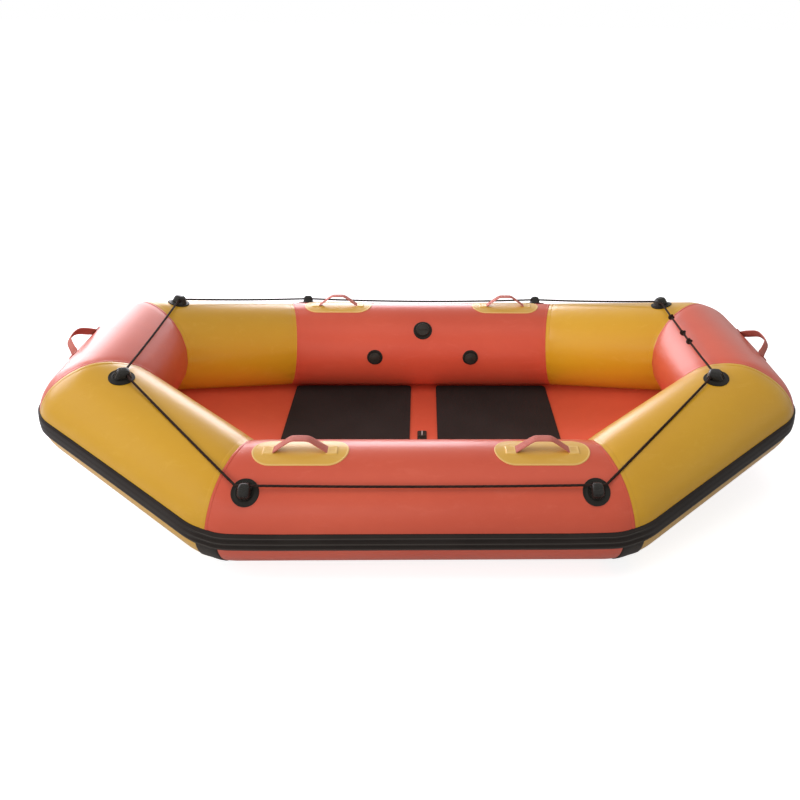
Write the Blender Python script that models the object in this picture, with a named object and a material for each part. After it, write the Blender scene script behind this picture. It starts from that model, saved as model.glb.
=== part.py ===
"""Two-ended inflatable raft for one or two paddlers.

Eight mitred tube panels form a ring whose two ends rise. A floor sheet closes the ring below and carries two
mats. Outside are a ribbed rubbing strake, wear patches, carrying handles and a grab line held by eight rope
holders. Inside are two chamber baffles and three valves.

Metres, +X along the raft, +Z up, ground at z = 0, origin under the middle of the raft.
"""

import math

import bmesh
import bpy
from mathutils import Matrix, Vector

UP = Vector((0, 0, 1))

# Fit of one piece against another
SEAT_GAP = 0.0003
OVERRUN = 0.004

# Shared shapes
CORNER_STEPS = 3
GRIP_CORNER_SHARE = 0.9
DOME_SHARES = (0.5, 0.75)

# Hull ring: axis corners of the tubes, in plan and in height
TUBE_RADIUS = 0.165
TUBE_WALL = 0.001
SIDE_HALF_LENGTH = 0.529
SIDE_HALF_SPACING = 0.499
END_DISTANCE = 0.984
END_HALF_LENGTH = 0.216
END_RISE = 0.128
TUBE_SIDES = 32

# Baffles that part the left chamber from the right one
BAFFLE_X = 0.0035
BAFFLE_BULGE = 0.018
BAFFLE_RIM = 0.016
BAFFLE_RING_SHARES = (0.6,)

# Floor sheet
FLOOR_CONTACT = math.radians(64)
FLOOR_THICKNESS = 0.0012
FLOOR_BEND_SETBACK = 0.024
FLOOR_EDGE_GAP = 0.0005
FLOOR_COLUMN_SHARES = (0.25, 0.5, 0.75, 0.9)

# Floor mats
MAT_SETBACK = 0.032
MAT_LEFT_INNER_X = 0.042
MAT_RIGHT_INNER_X = 0.057
MAT_HALF_WIDTH = 0.41
MAT_THICKNESS = 0.005
MAT_CORNER = 0.012
MAT_BEVEL = 0.0015

# Rubbing strake: its cross-section across the tube and the angle of its centre line
STRAKE_HALF_WIDTH = 0.028
STRAKE_EDGE = 0.003
STRAKE_BASE = 0.0045
STRAKE_RIB = 0.0075
STRAKE_RIB_SPACING = 0.0185
STRAKE_RIB_TOP_HALF = 0.0038
STRAKE_RIB_FOOT_HALF = 0.0062
STRAKE_BLEND = 0.2
STRAKE_SIDE_ANGLE = math.radians(-5.4)
STRAKE_BOW_ANGLE = math.radians(-3.3)
STRAKE_CORNER_ANGLE = math.radians(0.2)
STRAKE_END_ANGLE = math.radians(4.2)
STRAKE_SIDE_SHARES = (0.035, 0.08, 0.16, 0.5, 0.84, 0.92, 0.965, 1.0)
STRAKE_QUARTER_SHARES = (0.25, 0.5, 0.75, 1.0)
STRAKE_END_SHARES = (0.2, 0.5)

# Wear patches under the four side corners
WEAR_THICKNESS = 0.002
WEAR_ON_QUARTER = 0.028
WEAR_ON_SIDE_TOP = 0.038
WEAR_ON_SIDE_BOTTOM = 0.05
WEAR_END_ANGLE = math.radians(-106)
WEAR_ROWS = 10
WEAR_TWIST = math.radians(4)
WEAR_ROWS_UNDER = 2

# Handle patches on the side tubes
PATCH_LENGTH = 0.264
PATCH_WIDTH = 0.112
PATCH_THICKNESS = 0.0015
PATCH_SETBACK = 0.198
PATCH_ANGLE = math.radians(88)
PATCH_ROUND_STEPS = 4
PATCH_TIP_SHARE = 0.12
PATCH_ROWS = 4

# Webbing of every carrying handle
WEBBING_WIDTH = 0.029
WEBBING_THICKNESS = 0.0026
WEBBING_TAB = 0.026

# Side handle loop
SIDE_LOOP_HALF = 0.073
SIDE_LOOP_HEIGHT = 0.038
SIDE_LOOP_SHARES = ((0.97, 0.1), (0.78, 0.46), (0.5, 0.85), (0.18, 1.0))

# End handle loop
END_LOOP_HALF = 0.08
END_LOOP_HEIGHT = 0.05
END_LOOP_ANGLE = math.radians(45)
END_LOOP_SHARES = ((0.97, 0.12), (0.82, 0.58), (0.6, 0.88), (0.25, 1.0))

# Rope holders
HOLDER_RADIUS = 0.037
HOLDER_FLANGE = 0.0025
HOLDER_LIP = 0.0012
HOLDER_HEIGHT = 0.032
HOLDER_FOOT_BACK = 0.026
HOLDER_FOOT_FRONT = 0.0285
HOLDER_TOP_BACK = 0.019
HOLDER_TOP_FRONT = 0.021
HOLDER_CROWN = 0.007
HOLDER_HALF_LENGTH = 0.019
HOLDER_EYE_RADIUS = 0.0058
HOLDER_EYE_OFFSET = 0.016
HOLDER_EYE_HEIGHT = 0.014
HOLDER_SIDE_SETBACK = 0.067
HOLDER_FRONT_ANGLE = math.radians(43)
HOLDER_BACK_ANGLE = math.radians(60)
HOLDER_QUARTER_SETBACK = 0.086
HOLDER_SIDES = 16
HOLDER_RING_SHARES = (0.5,)
HOLDER_END_SHARES = ((-1.0, 0.84), (-0.8, 1.0), (0.8, 1.0), (1.0, 0.84))
HOLDER_FOOT_STEPS = 4

# Grab line
ROPE_RADIUS = 0.004
ROPE_MOUTH = 0.004
ROPE_BEND = 0.006
ROPE_ROUTE = (
    "front_left",
    "front_right",
    "quarter_front_right",
    "quarter_back_right",
    "back_right",
    "back_left",
    "quarter_back_left",
    "quarter_front_left",
)
SPAN_SAG = 0.004
SPAN_SAG_SHARES = (1.0, 0.5, 1.0, 0.75, 2.25, 0.75, 1.0, 0.5)
SPAN_SHARES = (0.3, 0.7)
KNOTTED_SPAN_FROM = "quarter_front_right"
KNOT_RADIUS = 0.0078
KNOT_REACH = 0.012
KNOT_SHARES = (0.415, 0.545, 0.78)

# Inflation valves of the left and right chambers
VALVE_X = 0.1835
VALVE_ANGLE = math.radians(7.2)
VALVE_RADIUS = 0.03
VALVE_FLANGE = 0.0028
VALVE_BOSS_RADIUS = 0.0185
VALVE_BOSS_HEIGHT = 0.0085
VALVE_BARREL_RADIUS = 0.017
VALVE_BARREL_DEPTH = 0.024
VALVE_BORE_RADIUS = 0.0135
VALVE_SEAT_RADIUS = 0.0105
VALVE_SEAT_THICKNESS = 0.0025
VALVE_WEB_DEPTH = 0.012
VALVE_WEB_THICKNESS = 0.0025
VALVE_HUB_RADIUS = 0.003
VALVE_PORT_RADIUS = 0.0033
VALVE_PORTS = 4
PORT_SIDES = 6
VALVE_NUT_RADIUS = 0.0255
VALVE_NUT_THICKNESS = 0.004
VALVE_SIDES = 20

# Cap of an inflation valve
CAP_WALL = 0.0026
CAP_TOP = 0.0025
CAP_DOME = 0.0035
CAP_FLUTES = 10
CAP_FLUTE_DEPTH = 0.0009

# Plunger and spring of an inflation valve
PLUNGER_STEM_RADIUS = 0.0025
PLUNGER_HEAD_RADIUS = 0.0055
PLUNGER_HEAD_THICKNESS = 0.0025
PLUNGER_HEAD_DEPTH = 0.0035
PLUNGER_DISC_RADIUS = 0.013
PLUNGER_DISC_THICKNESS = 0.0022
SPRING_WIRE_RADIUS = 0.00045
SPRING_RADIUS = 0.0042
SPRING_TURNS = 4
SPRING_STEPS = 7
SPRING_SIDES = 4

# Joining valve in the middle of the back tube
JOIN_ANGLE = math.radians(44)
JOIN_RADIUS = 0.036
JOIN_FLANGE = 0.003
JOIN_BOSS_RADIUS = 0.025
JOIN_BOSS_HEIGHT = 0.007
JOIN_BARREL_RADIUS = 0.0215
JOIN_BARREL_DEPTH = 0.036
JOIN_FLOOR = 0.003
JOIN_BORE_RADIUS = 0.0165
JOIN_PORT_RADIUS = 0.0095
JOIN_PORT_DEPTH = 0.0215
JOIN_NUT_RADIUS = 0.031
JOIN_NUT_THICKNESS = 0.0045
JOIN_NUT_STOP = 0.0015
KNOB_RADIUS = 0.0255
KNOB_THICKNESS = 0.0055
KNOB_DOME = 0.004
KNOB_RIM_SHARE = 0.93
KNOB_GRIP_HALF_LENGTH = 0.0185
KNOB_GRIP_HALF_WIDTH = 0.004
KNOB_GRIP_HEIGHT = 0.006
SEAL_WIRE_RADIUS = 0.0011
SEAL_DEPTH = 0.0045
SEAL_SIDES = 5
SEAL_SQUEEZE_SHARE = 0.7
JOIN_PORT_SIDES = 12

# Floor drain
DRAIN_X = 0.002
DRAIN_Y = 0.048
DRAIN_HALF_WIDTH = 0.019
DRAIN_HALF_LENGTH = 0.032
DRAIN_CORNER = 0.006
DRAIN_FLANGE = 0.003
DRAIN_COLLAR_RADIUS = 0.0155
DRAIN_COLLAR_HEIGHT = 0.004
DRAIN_SLEEVE_RADIUS = 0.0125
DRAIN_SLEEVE_DEPTH = 0.006
DRAIN_BORE_RADIUS = 0.0095
PLUG_HEAD_RADIUS = 0.0145
PLUG_HEAD_THICKNESS = 0.003
PLUG_DEPTH = 0.011
PLUG_GRIP_HALF_LENGTH = 0.011
PLUG_GRIP_HALF_WIDTH = 0.0018
PLUG_GRIP_HEIGHT = 0.007
DRAIN_SIDES = 16

# Worked out from the sizes above
WEAR_STEP = math.radians(90) / WEAR_ROWS + WEAR_TWIST
HULL_HEIGHT = (TUBE_RADIUS + SEAT_GAP) / math.cos(WEAR_STEP / 2) + WEAR_THICKNESS
HALF_BUTT = SEAT_GAP / 2
INNER_FACET = (TUBE_RADIUS - TUBE_WALL) * math.cos(math.pi / TUBE_SIDES)
FLOOR_Z = HULL_HEIGHT - TUBE_RADIUS * math.sin(FLOOR_CONTACT)
FLOOR_BEND_X = SIDE_HALF_LENGTH - FLOOR_BEND_SETBACK
MAT_OUTER_X = SIDE_HALF_LENGTH - MAT_SETBACK
PATCH_CENTRE_X = SIDE_HALF_LENGTH - PATCH_SETBACK
HOLDER_SIDE_X = SIDE_HALF_LENGTH - HOLDER_SIDE_SETBACK


def clear_scene():
    for old in list(bpy.data.objects):
        bpy.data.objects.remove(old, do_unlink=True)


def material(name, colour, roughness, metallic=0.0):
    """A Principled material; colour is linear red, green and blue."""
    made = bpy.data.materials.new(name)
    made.use_nodes = True
    shader = made.node_tree.nodes["Principled BSDF"]
    shader.inputs["Base Color"].default_value = (*colour, 1.0)
    shader.inputs["Roughness"].default_value = roughness
    shader.inputs["Metallic"].default_value = metallic
    return made


def solid(name, points, faces, finish, frame=None):
    """One closed body as an object; its points are local to frame, or world points without one."""
    mesh = bpy.data.meshes.new(name)
    mesh.from_pydata([tuple(p) for p in points], [], faces)
    body = bmesh.new()
    body.from_mesh(mesh)
    bmesh.ops.recalc_face_normals(body, faces=body.faces)
    body.to_mesh(mesh)
    body.free()
    mesh.shade_smooth()
    mesh.set_sharp_from_angle(angle=math.radians(35))
    mesh.materials.append(finish)
    made = bpy.data.objects.new(name, mesh)
    bpy.context.collection.objects.link(made)
    if frame is not None:
        made.matrix_world = frame
    return made


def cutter(name, points, faces, frame=None):
    """A guide body that only cuts or joins others."""
    made = solid(name, points, faces, None, frame)
    made.data.materials.clear()
    made.hide_render = True
    made.display_type = "WIRE"
    return made


def boolean(target, tool, operation):
    step = target.modifiers.new(tool.name, "BOOLEAN")
    step.operation = operation
    step.solver = "EXACT"
    step.object = tool


def rings(count_rings, count_sides, closed):
    """Quads between successive rings of points; closed joins the last ring to the first."""
    faces = []
    last = count_rings if closed else count_rings - 1
    for i in range(last):
        a, b = i * count_sides, ((i + 1) % count_rings) * count_sides
        for j in range(count_sides):
            k = (j + 1) % count_sides
            faces.append((a + j, a + k, b + k, b + j))
    return faces


def end_faces(count_rings, count_sides):
    """The two faces that close an open row of rings."""
    last = count_sides * (count_rings - 1)
    return [tuple(range(count_sides)), tuple(range(last, last + count_sides))]


def turned(profile, sides, shape=None):
    """Points and faces of a profile of (radius, height) pairs turned about Z.

    A profile that starts and ends on the axis is closed by a point at each end, any other by its own loop.
    shape(angle, radius, height) may change the radius of a point.
    """
    on_axis = profile[0][0] == 0
    rows = profile[1:-1] if on_axis else profile
    points = []
    for radius, height in rows:
        for j in range(sides):
            angle = math.tau * j / sides
            r = shape(angle, radius, height) if shape else radius
            points.append(Vector((r * math.cos(angle), r * math.sin(angle), height)))
    faces = rings(len(rows), sides, not on_axis)
    if on_axis:
        for row, (_, height) in ((0, profile[0]), (len(rows) - 1, profile[-1])):
            tip = len(points)
            points.append(Vector((0, 0, height)))
            for j in range(sides):
                faces.append((row * sides + j, row * sides + (j + 1) % sides, tip))
    return points, faces


def prism(outline, low, high):
    """Points and faces of a flat outline of (x, y) pairs extruded from low to high."""
    n = len(outline)
    points = [Vector((x, y, z)) for z in (low, high) for x, y in outline]
    return points, rings(2, n, False) + end_faces(2, n)


def rounded_rectangle(half_x, half_y, corner, steps=CORNER_STEPS):
    """Outline of a rectangle with round corners."""
    outline = []
    for quarter, (sx, sy) in enumerate(((1, 1), (-1, 1), (-1, -1), (1, -1))):
        for k in range(steps + 1):
            angle = math.pi / 2 * (quarter + k / steps)
            x = sx * (half_x - corner) + corner * math.cos(angle)
            y = sy * (half_y - corner) + corner * math.sin(angle)
            outline.append((x, y))
    return outline


def dome_point(radius, low, rise):
    """The one point of a flat dome's profile between its rim and its crown."""
    return radius * DOME_SHARES[0], low + rise * DOME_SHARES[1]


def grip_outline(half_x, half_y):
    """Outline of a finger grip with nearly half-round ends."""
    return rounded_rectangle(half_x, half_y, min(half_x, half_y) * GRIP_CORNER_SHARE)


def saddle(points, beyond, radius):
    """Bends what lies past a distance from the Z axis down onto a tube that runs along local X."""
    for p in points:
        if math.hypot(p.x, p.y) > beyond:
            p.z += math.sqrt(radius ** 2 - p.y ** 2) - radius


class Run:
    """A straight tube between two corners of the ring, going round anticlockwise seen from above.

    An angle about its axis is counted from the outward side up.
    """

    def __init__(self, name, start, end):
        self.name = name
        self.start = start
        self.end = end
        self.length = (end - start).length
        self.along = (end - start).normalized()
        self.up = (UP - self.along * UP.dot(self.along)).normalized()
        self.out = self.along.cross(self.up)

    def join(self, before, after):
        """Takes the mitre planes from the neighbours."""
        self.start_normal = (self.along + before.along).normalized()
        self.end_normal = (self.along + after.along).normalized()

    def radial(self, angle):
        return self.out * math.cos(angle) + self.up * math.sin(angle)

    def at(self, t, angle, radius):
        return self.start + self.along * t + self.radial(angle) * radius

    def start_t(self, angle, radius, gap=0.0):
        """Distance along the axis at which a line on the tube crosses the mitre at its start."""
        offset = self.radial(angle) * radius
        return (gap - offset.dot(self.start_normal)) / self.along.dot(self.start_normal)

    def end_t(self, angle, radius, gap=0.0):
        offset = self.radial(angle) * radius
        crossing = (-gap - offset.dot(self.end_normal)) / self.along.dot(self.end_normal)
        return self.length + crossing

    def angle_of(self, point):
        offset = point - self.start
        return math.atan2(offset.dot(self.up), offset.dot(self.out))

    def frame(self, t, angle, radius):
        """Local frame on the tube: X along it, Y across it, Z straight out of it."""
        z = self.radial(angle)
        x = self.along
        y = z.cross(x)
        made = Matrix((x, y, z)).transposed().to_4x4()
        made.translation = self.at(t, angle, radius)
        return made


def hull_runs():
    a, w, b, v = SIDE_HALF_LENGTH, SIDE_HALF_SPACING, END_DISTANCE, END_HALF_LENGTH
    low, high = HULL_HEIGHT, HULL_HEIGHT + END_RISE
    corners = {
        "side_tube_front": (-a, -w, low),
        "quarter_tube_front_right": (a, -w, low),
        "end_tube_right": (b, -v, high),
        "quarter_tube_back_right": (b, v, high),
        "side_tube_back": (a, w, low),
        "quarter_tube_back_left": (-a, w, low),
        "end_tube_left": (-b, v, high),
        "quarter_tube_front_left": (-b, -v, high),
    }
    names = list(corners)
    made = []
    for i, name in enumerate(names):
        end = corners[names[(i + 1) % len(names)]]
        made.append(Run(name, Vector(corners[name]), Vector(end)))
    for i, run in enumerate(made):
        run.join(made[i - 1], made[(i + 1) % len(made)])
    return {run.name: run for run in made}


def snug(step):
    """Radius of a faceted skin, at this step of angle, that keeps the seat gap to the tube."""
    return (TUBE_RADIUS + SEAT_GAP) / math.cos(step / 2)


def tube_panel(run, finish):
    """A thin-walled tube cut at both mitres, open at its ends."""
    inner = TUBE_RADIUS - TUBE_WALL
    loops = (
        (TUBE_RADIUS, run.start_t),
        (TUBE_RADIUS, run.end_t),
        (inner, run.end_t),
        (inner, run.start_t),
    )
    points = []
    for radius, cut in loops:
        for j in range(TUBE_SIDES):
            angle = math.tau * j / TUBE_SIDES
            points.append(run.at(cut(angle, radius, HALF_BUTT), angle, radius))
    return solid(run.name, points, rings(len(loops), TUBE_SIDES, True), finish)


def baffle(name, run, finish):
    """A dished wall across a side tube with a rim that is bonded to its inside."""
    outer = TUBE_RADIUS - TUBE_WALL - SEAT_GAP
    middle = run.at(0, 0, 0).lerp(run.at(run.length, 0, 0), 0.5)
    t = run.length / 2 + (BAFFLE_X - middle.x) * run.along.x
    wall = TUBE_WALL
    front = [(share * outer, BAFFLE_BULGE * (1 - share ** 2)) for share in BAFFLE_RING_SHARES]
    back = [(radius, rise - wall) for radius, rise in reversed(front)]
    profile = [(0, BAFFLE_BULGE - wall), *back, (outer - wall, -wall), (outer - wall, -BAFFLE_RIM)]
    profile += [(outer, -BAFFLE_RIM), (outer, 0), *front, (0, BAFFLE_BULGE)]
    points, faces = turned(profile, TUBE_SIDES)
    frame = Matrix((run.out, run.up, run.out.cross(run.up))).transposed().to_4x4()
    frame.translation = run.at(t, 0, 0)
    return solid(name, points, faces, finish, frame)


def free_half_width(runs, x, z):
    """Half the width between the tubes at a height z, for a place x along the raft."""
    radius = TUBE_RADIUS + FLOOR_EDGE_GAP
    widths = []
    for name in ("side_tube_back", "quarter_tube_back_right"):
        run = runs[name]
        origin = Vector((abs(x), 0, z)) - run.start
        origin -= run.along * origin.dot(run.along)
        across = Vector((0, 1, 0)) - run.along * run.along.y
        a = across.length_squared
        b = origin.dot(across)
        c = origin.length_squared - radius ** 2
        root = b * b - a * c
        if root > 0:
            widths.append((-b - math.sqrt(root)) / a)
    return min(widths)


def floor_sheet(runs, finish):
    """One sheet: flat in the middle, rising to the end tubes, its edges on the tubes all round."""
    seat = TUBE_RADIUS + FLOOR_EDGE_GAP
    end_x = END_DISTANCE - seat * math.cos(FLOOR_CONTACT)
    end_z = HULL_HEIGHT + END_RISE - TUBE_RADIUS * math.sin(FLOOR_CONTACT)
    reach = end_x - FLOOR_BEND_X
    half = [(FLOOR_BEND_X, FLOOR_Z)]
    seam_share = (SIDE_HALF_LENGTH - FLOOR_BEND_X) / reach
    for share in (seam_share, *FLOOR_COLUMN_SHARES, 1.0):
        half.append((FLOOR_BEND_X + reach * share, FLOOR_Z + (end_z - FLOOR_Z) * share))
    columns = [(-x, z) for x, z in reversed(half)] + half
    points = []
    for x, z in columns:
        y = free_half_width(runs, x, z)
        for side, drop in ((-y, 0), (y, 0), (y, FLOOR_THICKNESS), (-y, FLOOR_THICKNESS)):
            points.append(Vector((x, side, z - drop)))
    count = len(columns)
    faces = rings(count, 4, False) + end_faces(count, 4)
    return solid("floor_sheet", points, faces, finish)


def mat(name, inner_x, outer_x, finish):
    half_x = abs(outer_x - inner_x) / 2
    outline = rounded_rectangle(half_x, MAT_HALF_WIDTH, MAT_CORNER)
    points, faces = prism(outline, 0, MAT_THICKNESS)
    frame = Matrix.Translation(((inner_x + outer_x) / 2, 0, FLOOR_Z + SEAT_GAP))
    made = solid(name, points, faces, finish, frame)
    bevel = made.modifiers.new("edge", "BEVEL")
    bevel.width = MAT_BEVEL
    bevel.segments = 1
    bevel.limit_method = "ANGLE"
    return made


def strake_section():
    """Loop of (distance across the tube, height over its seat): the ribbed face, then the bonded face."""
    face = [(-STRAKE_HALF_WIDTH, STRAKE_EDGE)]
    for rib in (-1, 0, 1):
        middle = rib * STRAKE_RIB_SPACING
        face.append((middle - STRAKE_RIB_FOOT_HALF, STRAKE_BASE))
        face.append((middle - STRAKE_RIB_TOP_HALF, STRAKE_RIB))
        face.append((middle + STRAKE_RIB_TOP_HALF, STRAKE_RIB))
        face.append((middle + STRAKE_RIB_FOOT_HALF, STRAKE_BASE))
    face.append((STRAKE_HALF_WIDTH, STRAKE_EDGE))
    seat = [(STRAKE_HALF_WIDTH * share, 0.0) for share in (1.0, 0.0, -1.0)]
    return face + seat


def twist(before, after):
    """Angle in the next run less the angle in this one, for the same place on their mitre."""
    point = before.at(before.end_t(0.0, TUBE_RADIUS), 0.0, TUBE_RADIUS)
    return after.angle_of(point)


class StrakeLine:
    """Angle of the strake's centre line along each run."""

    def __init__(self, runs):
        self.side_twist = twist(runs["side_tube_front"], runs["quarter_tube_front_right"])
        self.end_twist = twist(runs["quarter_tube_front_right"], runs["end_tube_right"])

    def side(self, from_corner):
        """On a side tube, at a distance from its nearer mitre."""
        corner = STRAKE_CORNER_ANGLE - self.side_twist
        left = max(0.0, 1 - from_corner / STRAKE_BLEND)
        return STRAKE_SIDE_ANGLE + (corner - STRAKE_SIDE_ANGLE) * left ** 2

    def quarter(self, share):
        """On a quarter tube, at a share of its length from the end corner to the side corner."""
        swing = STRAKE_CORNER_ANGLE - STRAKE_BOW_ANGLE
        return STRAKE_BOW_ANGLE + swing * math.sin(math.pi / 2 * share)

    def end(self, share):
        """On an end tube, at a share from its corner to its middle."""
        corner = STRAKE_BOW_ANGLE + self.end_twist
        return corner + (STRAKE_END_ANGLE - corner) * math.sin(math.pi / 2 * share)

    def angle(self, run, share):
        """At a share of a run's length, whichever run it is."""
        near = min(share, 1 - share)
        if run.name.startswith("side"):
            return self.side(near * run.length)
        if run.name.startswith("end"):
            return self.end(2 * near)
        uphill = run.along.z > 0
        return self.quarter(1 - share if uphill else share)


def strake_half(name, path, line, finish):
    """Half of the strake: a ribbed strip that follows five runs from one end tube's middle to the other's."""
    section = strake_section()
    stations = [(path[0], 1 - share) for share in reversed(STRAKE_END_SHARES)] + [(path[0], 1.0)]
    stations += [(path[1], share) for share in STRAKE_QUARTER_SHARES]
    stations += [(path[2], share) for share in STRAKE_SIDE_SHARES]
    stations += [(path[3], share) for share in STRAKE_QUARTER_SHARES]
    stations += [(path[4], share) for share in STRAKE_END_SHARES]
    swings = [0.0]
    for (before, low), (run, high) in zip(stations, stations[1:]):
        start = low if run is before else 0.0
        swings.append(abs(line.angle(run, high) - line.angle(run, start)))
    seat = snug(STRAKE_HALF_WIDTH / TUBE_RADIUS + max(swings))
    points = []
    for i, (run, share) in enumerate(stations):
        butt = HALF_BUTT * ((i == 0) - (i == len(stations) - 1))
        for across, height in section:
            radius = seat + height
            turn = across / TUBE_RADIUS
            first = run.start_t(line.angle(run, 0.0) + turn, radius)
            last = run.end_t(line.angle(run, 1.0) + turn, radius)
            t = first + (last - first) * share + butt
            points.append(run.at(t, line.angle(run, share) + turn, radius))
    count, n = len(stations), len(section)
    return solid(name, points, rings(count, n, False) + end_faces(count, n), finish)


def wear_patch(name, before, after, line, finish):
    """A patch under a side corner, bent over its seam, from the strake round to the underside.

    before and after are the runs that meet at the corner. Its rows are counted in the side tube's angle.
    """
    side, quarter = (after, before) if after.name.startswith("side") else (before, after)
    away = 1 if side is after else -1
    shift = line.side_twist
    inner = snug(WEAR_STEP)
    under = math.radians(90)
    edge = STRAKE_HALF_WIDTH / TUBE_RADIUS + SEAT_GAP / TUBE_RADIUS
    columns = (
        ("quarter", WEAR_ON_QUARTER, WEAR_ON_QUARTER),
        ("seam", 0.0, 0.0),
        ("side", WEAR_ON_SIDE_TOP, WEAR_ON_SIDE_BOTTOM),
    )
    loops = []
    for kind, top_reach, bottom_reach in columns:
        if kind == "quarter":
            centre = line.quarter(1 - top_reach / quarter.length) - shift
        else:
            centre = line.side(top_reach)
        top = centre - edge
        angles = [top + (-under - top) * k / WEAR_ROWS for k in range(WEAR_ROWS + 1)]
        turn = WEAR_END_ANGLE + under
        angles += [-under + turn * (k + 1) / WEAR_ROWS_UNDER for k in range(WEAR_ROWS_UNDER)]
        for radius in (inner, inner + WEAR_THICKNESS):
            for k, angle in enumerate(angles):
                cut = side.start_t if away > 0 else side.end_t
                seam = side.at(cut(angle, radius), angle, radius)
                reach = top_reach + (bottom_reach - top_reach) * k / (len(angles) - 1)
                if kind == "quarter":
                    loops.append(seam - quarter.along * reach * away)
                else:
                    loops.append(seam + side.along * reach * away)
    rows = WEAR_ROWS + WEAR_ROWS_UNDER + 1
    faces = []
    count = len(columns)
    for i in range(count - 1):
        a, b = 2 * rows * i, 2 * rows * (i + 1)
        for k in range(rows - 1):
            faces.append((a + k, a + k + 1, b + k + 1, b + k))
            faces.append((a + rows + k, b + rows + k, b + rows + k + 1, a + rows + k + 1))
        faces.append((a, b, b + rows, a + rows))
        top_row = rows - 1
        faces.append((a + top_row, a + rows + top_row, b + rows + top_row, b + top_row))
    for a in (0, 2 * rows * (count - 1)):
        for k in range(rows - 1):
            faces.append((a + k, a + k + 1, a + rows + k + 1, a + rows + k))
    return solid(name, loops, faces, finish)


def handle_patch(name, run, centre_t, finish):
    """A round-ended patch that lies on the tube."""
    half_width = PATCH_WIDTH / 2
    straight = PATCH_LENGTH / 2 - half_width
    outline = []
    for k in range(PATCH_ROUND_STEPS + 1):
        share = PATCH_TIP_SHARE + (1 - PATCH_TIP_SHARE) * k / PATCH_ROUND_STEPS
        angle = math.pi / 2 * share
        outline.append((straight + half_width * math.cos(angle), half_width * math.sin(angle)))
    columns = [(-t, width) for t, width in outline] + [(t, width) for t, width in reversed(outline)]
    step = PATCH_WIDTH / PATCH_ROWS / TUBE_RADIUS
    inner = snug(step)
    rows = PATCH_ROWS + 1
    points = []
    for t, width in columns:
        for radius in (inner, inner + PATCH_THICKNESS):
            for k in range(rows):
                angle = PATCH_ANGLE + (2 * k / PATCH_ROWS - 1) * width / TUBE_RADIUS
                points.append(run.at(centre_t + t, angle, radius))
    faces = []
    for i in range(len(columns) - 1):
        a, b = 2 * rows * i, 2 * rows * (i + 1)
        for k in range(rows - 1):
            faces.append((a + k, a + k + 1, b + k + 1, b + k))
            faces.append((a + rows + k, b + rows + k, b + rows + k + 1, a + rows + k + 1))
        faces.append((a, b, b + rows, a + rows))
        faces.append((a + rows - 1, a + 2 * rows - 1, b + 2 * rows - 1, b + rows - 1))
    for a in (0, 2 * rows * (len(columns) - 1)):
        for k in range(rows - 1):
            faces.append((a + k, a + k + 1, a + rows + k + 1, a + rows + k))
    return solid(name, points, faces, finish)


def webbing_loop(name, frame, half, height, shares, lift, finish):
    """A strap with a tab at each foot: its line runs along local X and rises along local Z."""
    base = lift + WEBBING_THICKNESS / 2
    line = [(half + WEBBING_TAB, base), (half, base)]
    line += [(half * along, base + height * rise) for along, rise in shares]
    line += [(-x, z) for x, z in reversed(line)]
    points = []
    for i, (x, z) in enumerate(line):
        before = Vector(line[max(i - 1, 0)])
        after = Vector(line[min(i + 1, len(line) - 1)])
        here = Vector((x, z))
        first = (here - before).normalized() if i else (after - here).normalized()
        second = (after - here).normalized() if i < len(line) - 1 else first
        normal = Vector((-first.y, first.x)) + Vector((-second.y, second.x))
        normal.normalize()
        stretch = 1 / max(normal.dot(Vector((-first.y, first.x))), 0.5)
        thick = normal * WEBBING_THICKNESS / 2 * stretch
        for side, face in ((-1, -1), (1, -1), (1, 1), (-1, 1)):
            at = here + thick * face
            points.append(Vector((at.x, side * WEBBING_WIDTH / 2, at.y)))
    count = len(line)
    return solid(name, points, rings(count, 4, False) + end_faces(count, 4), finish, frame)


def holder_frames(runs):
    """Frame of each rope holder by name, on the tube's surface, going round the raft."""
    made = {}
    surface = TUBE_RADIUS + SEAT_GAP
    for side, angle in (("front", HOLDER_FRONT_ANGLE), ("back", HOLDER_BACK_ANGLE)):
        run = runs[f"side_tube_{side}"]
        for end, x in (("left", -HOLDER_SIDE_X), ("right", HOLDER_SIDE_X)):
            t = run.length / 2 + x * run.along.x
            made[f"{side}_{end}"] = run.frame(t, angle, surface)
    for side in ("front", "back"):
        for end in ("left", "right"):
            run = runs[f"quarter_tube_{side}_{end}"]
            uphill = run.along.z > 0
            t = run.length - HOLDER_QUARTER_SETBACK if uphill else HOLDER_QUARTER_SETBACK
            made[f"quarter_{side}_{end}"] = run.frame(t, math.pi / 2, surface)
    return made


def eye_turns(frames):
    """Turn of each holder about its own Z.

    On a side tube the eye runs along the tube, above the middle. On a quarter tube it faces the pull of the
    rope's two spans.
    """
    made = {}
    count = len(ROPE_ROUTE)
    for i, name in enumerate(ROPE_ROUTE):
        if not name.startswith("quarter"):
            made[name] = math.pi / 2
            continue
        here = frames[name]
        pull = Vector((0, 0, 0))
        for other in (ROPE_ROUTE[i - 1], ROPE_ROUTE[(i + 1) % count]):
            pull += (frames[other].translation - here.translation).normalized()
        local = here.to_3x3().transposed() @ pull
        made[name] = math.atan2(local.y, local.x)
    return made


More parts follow.
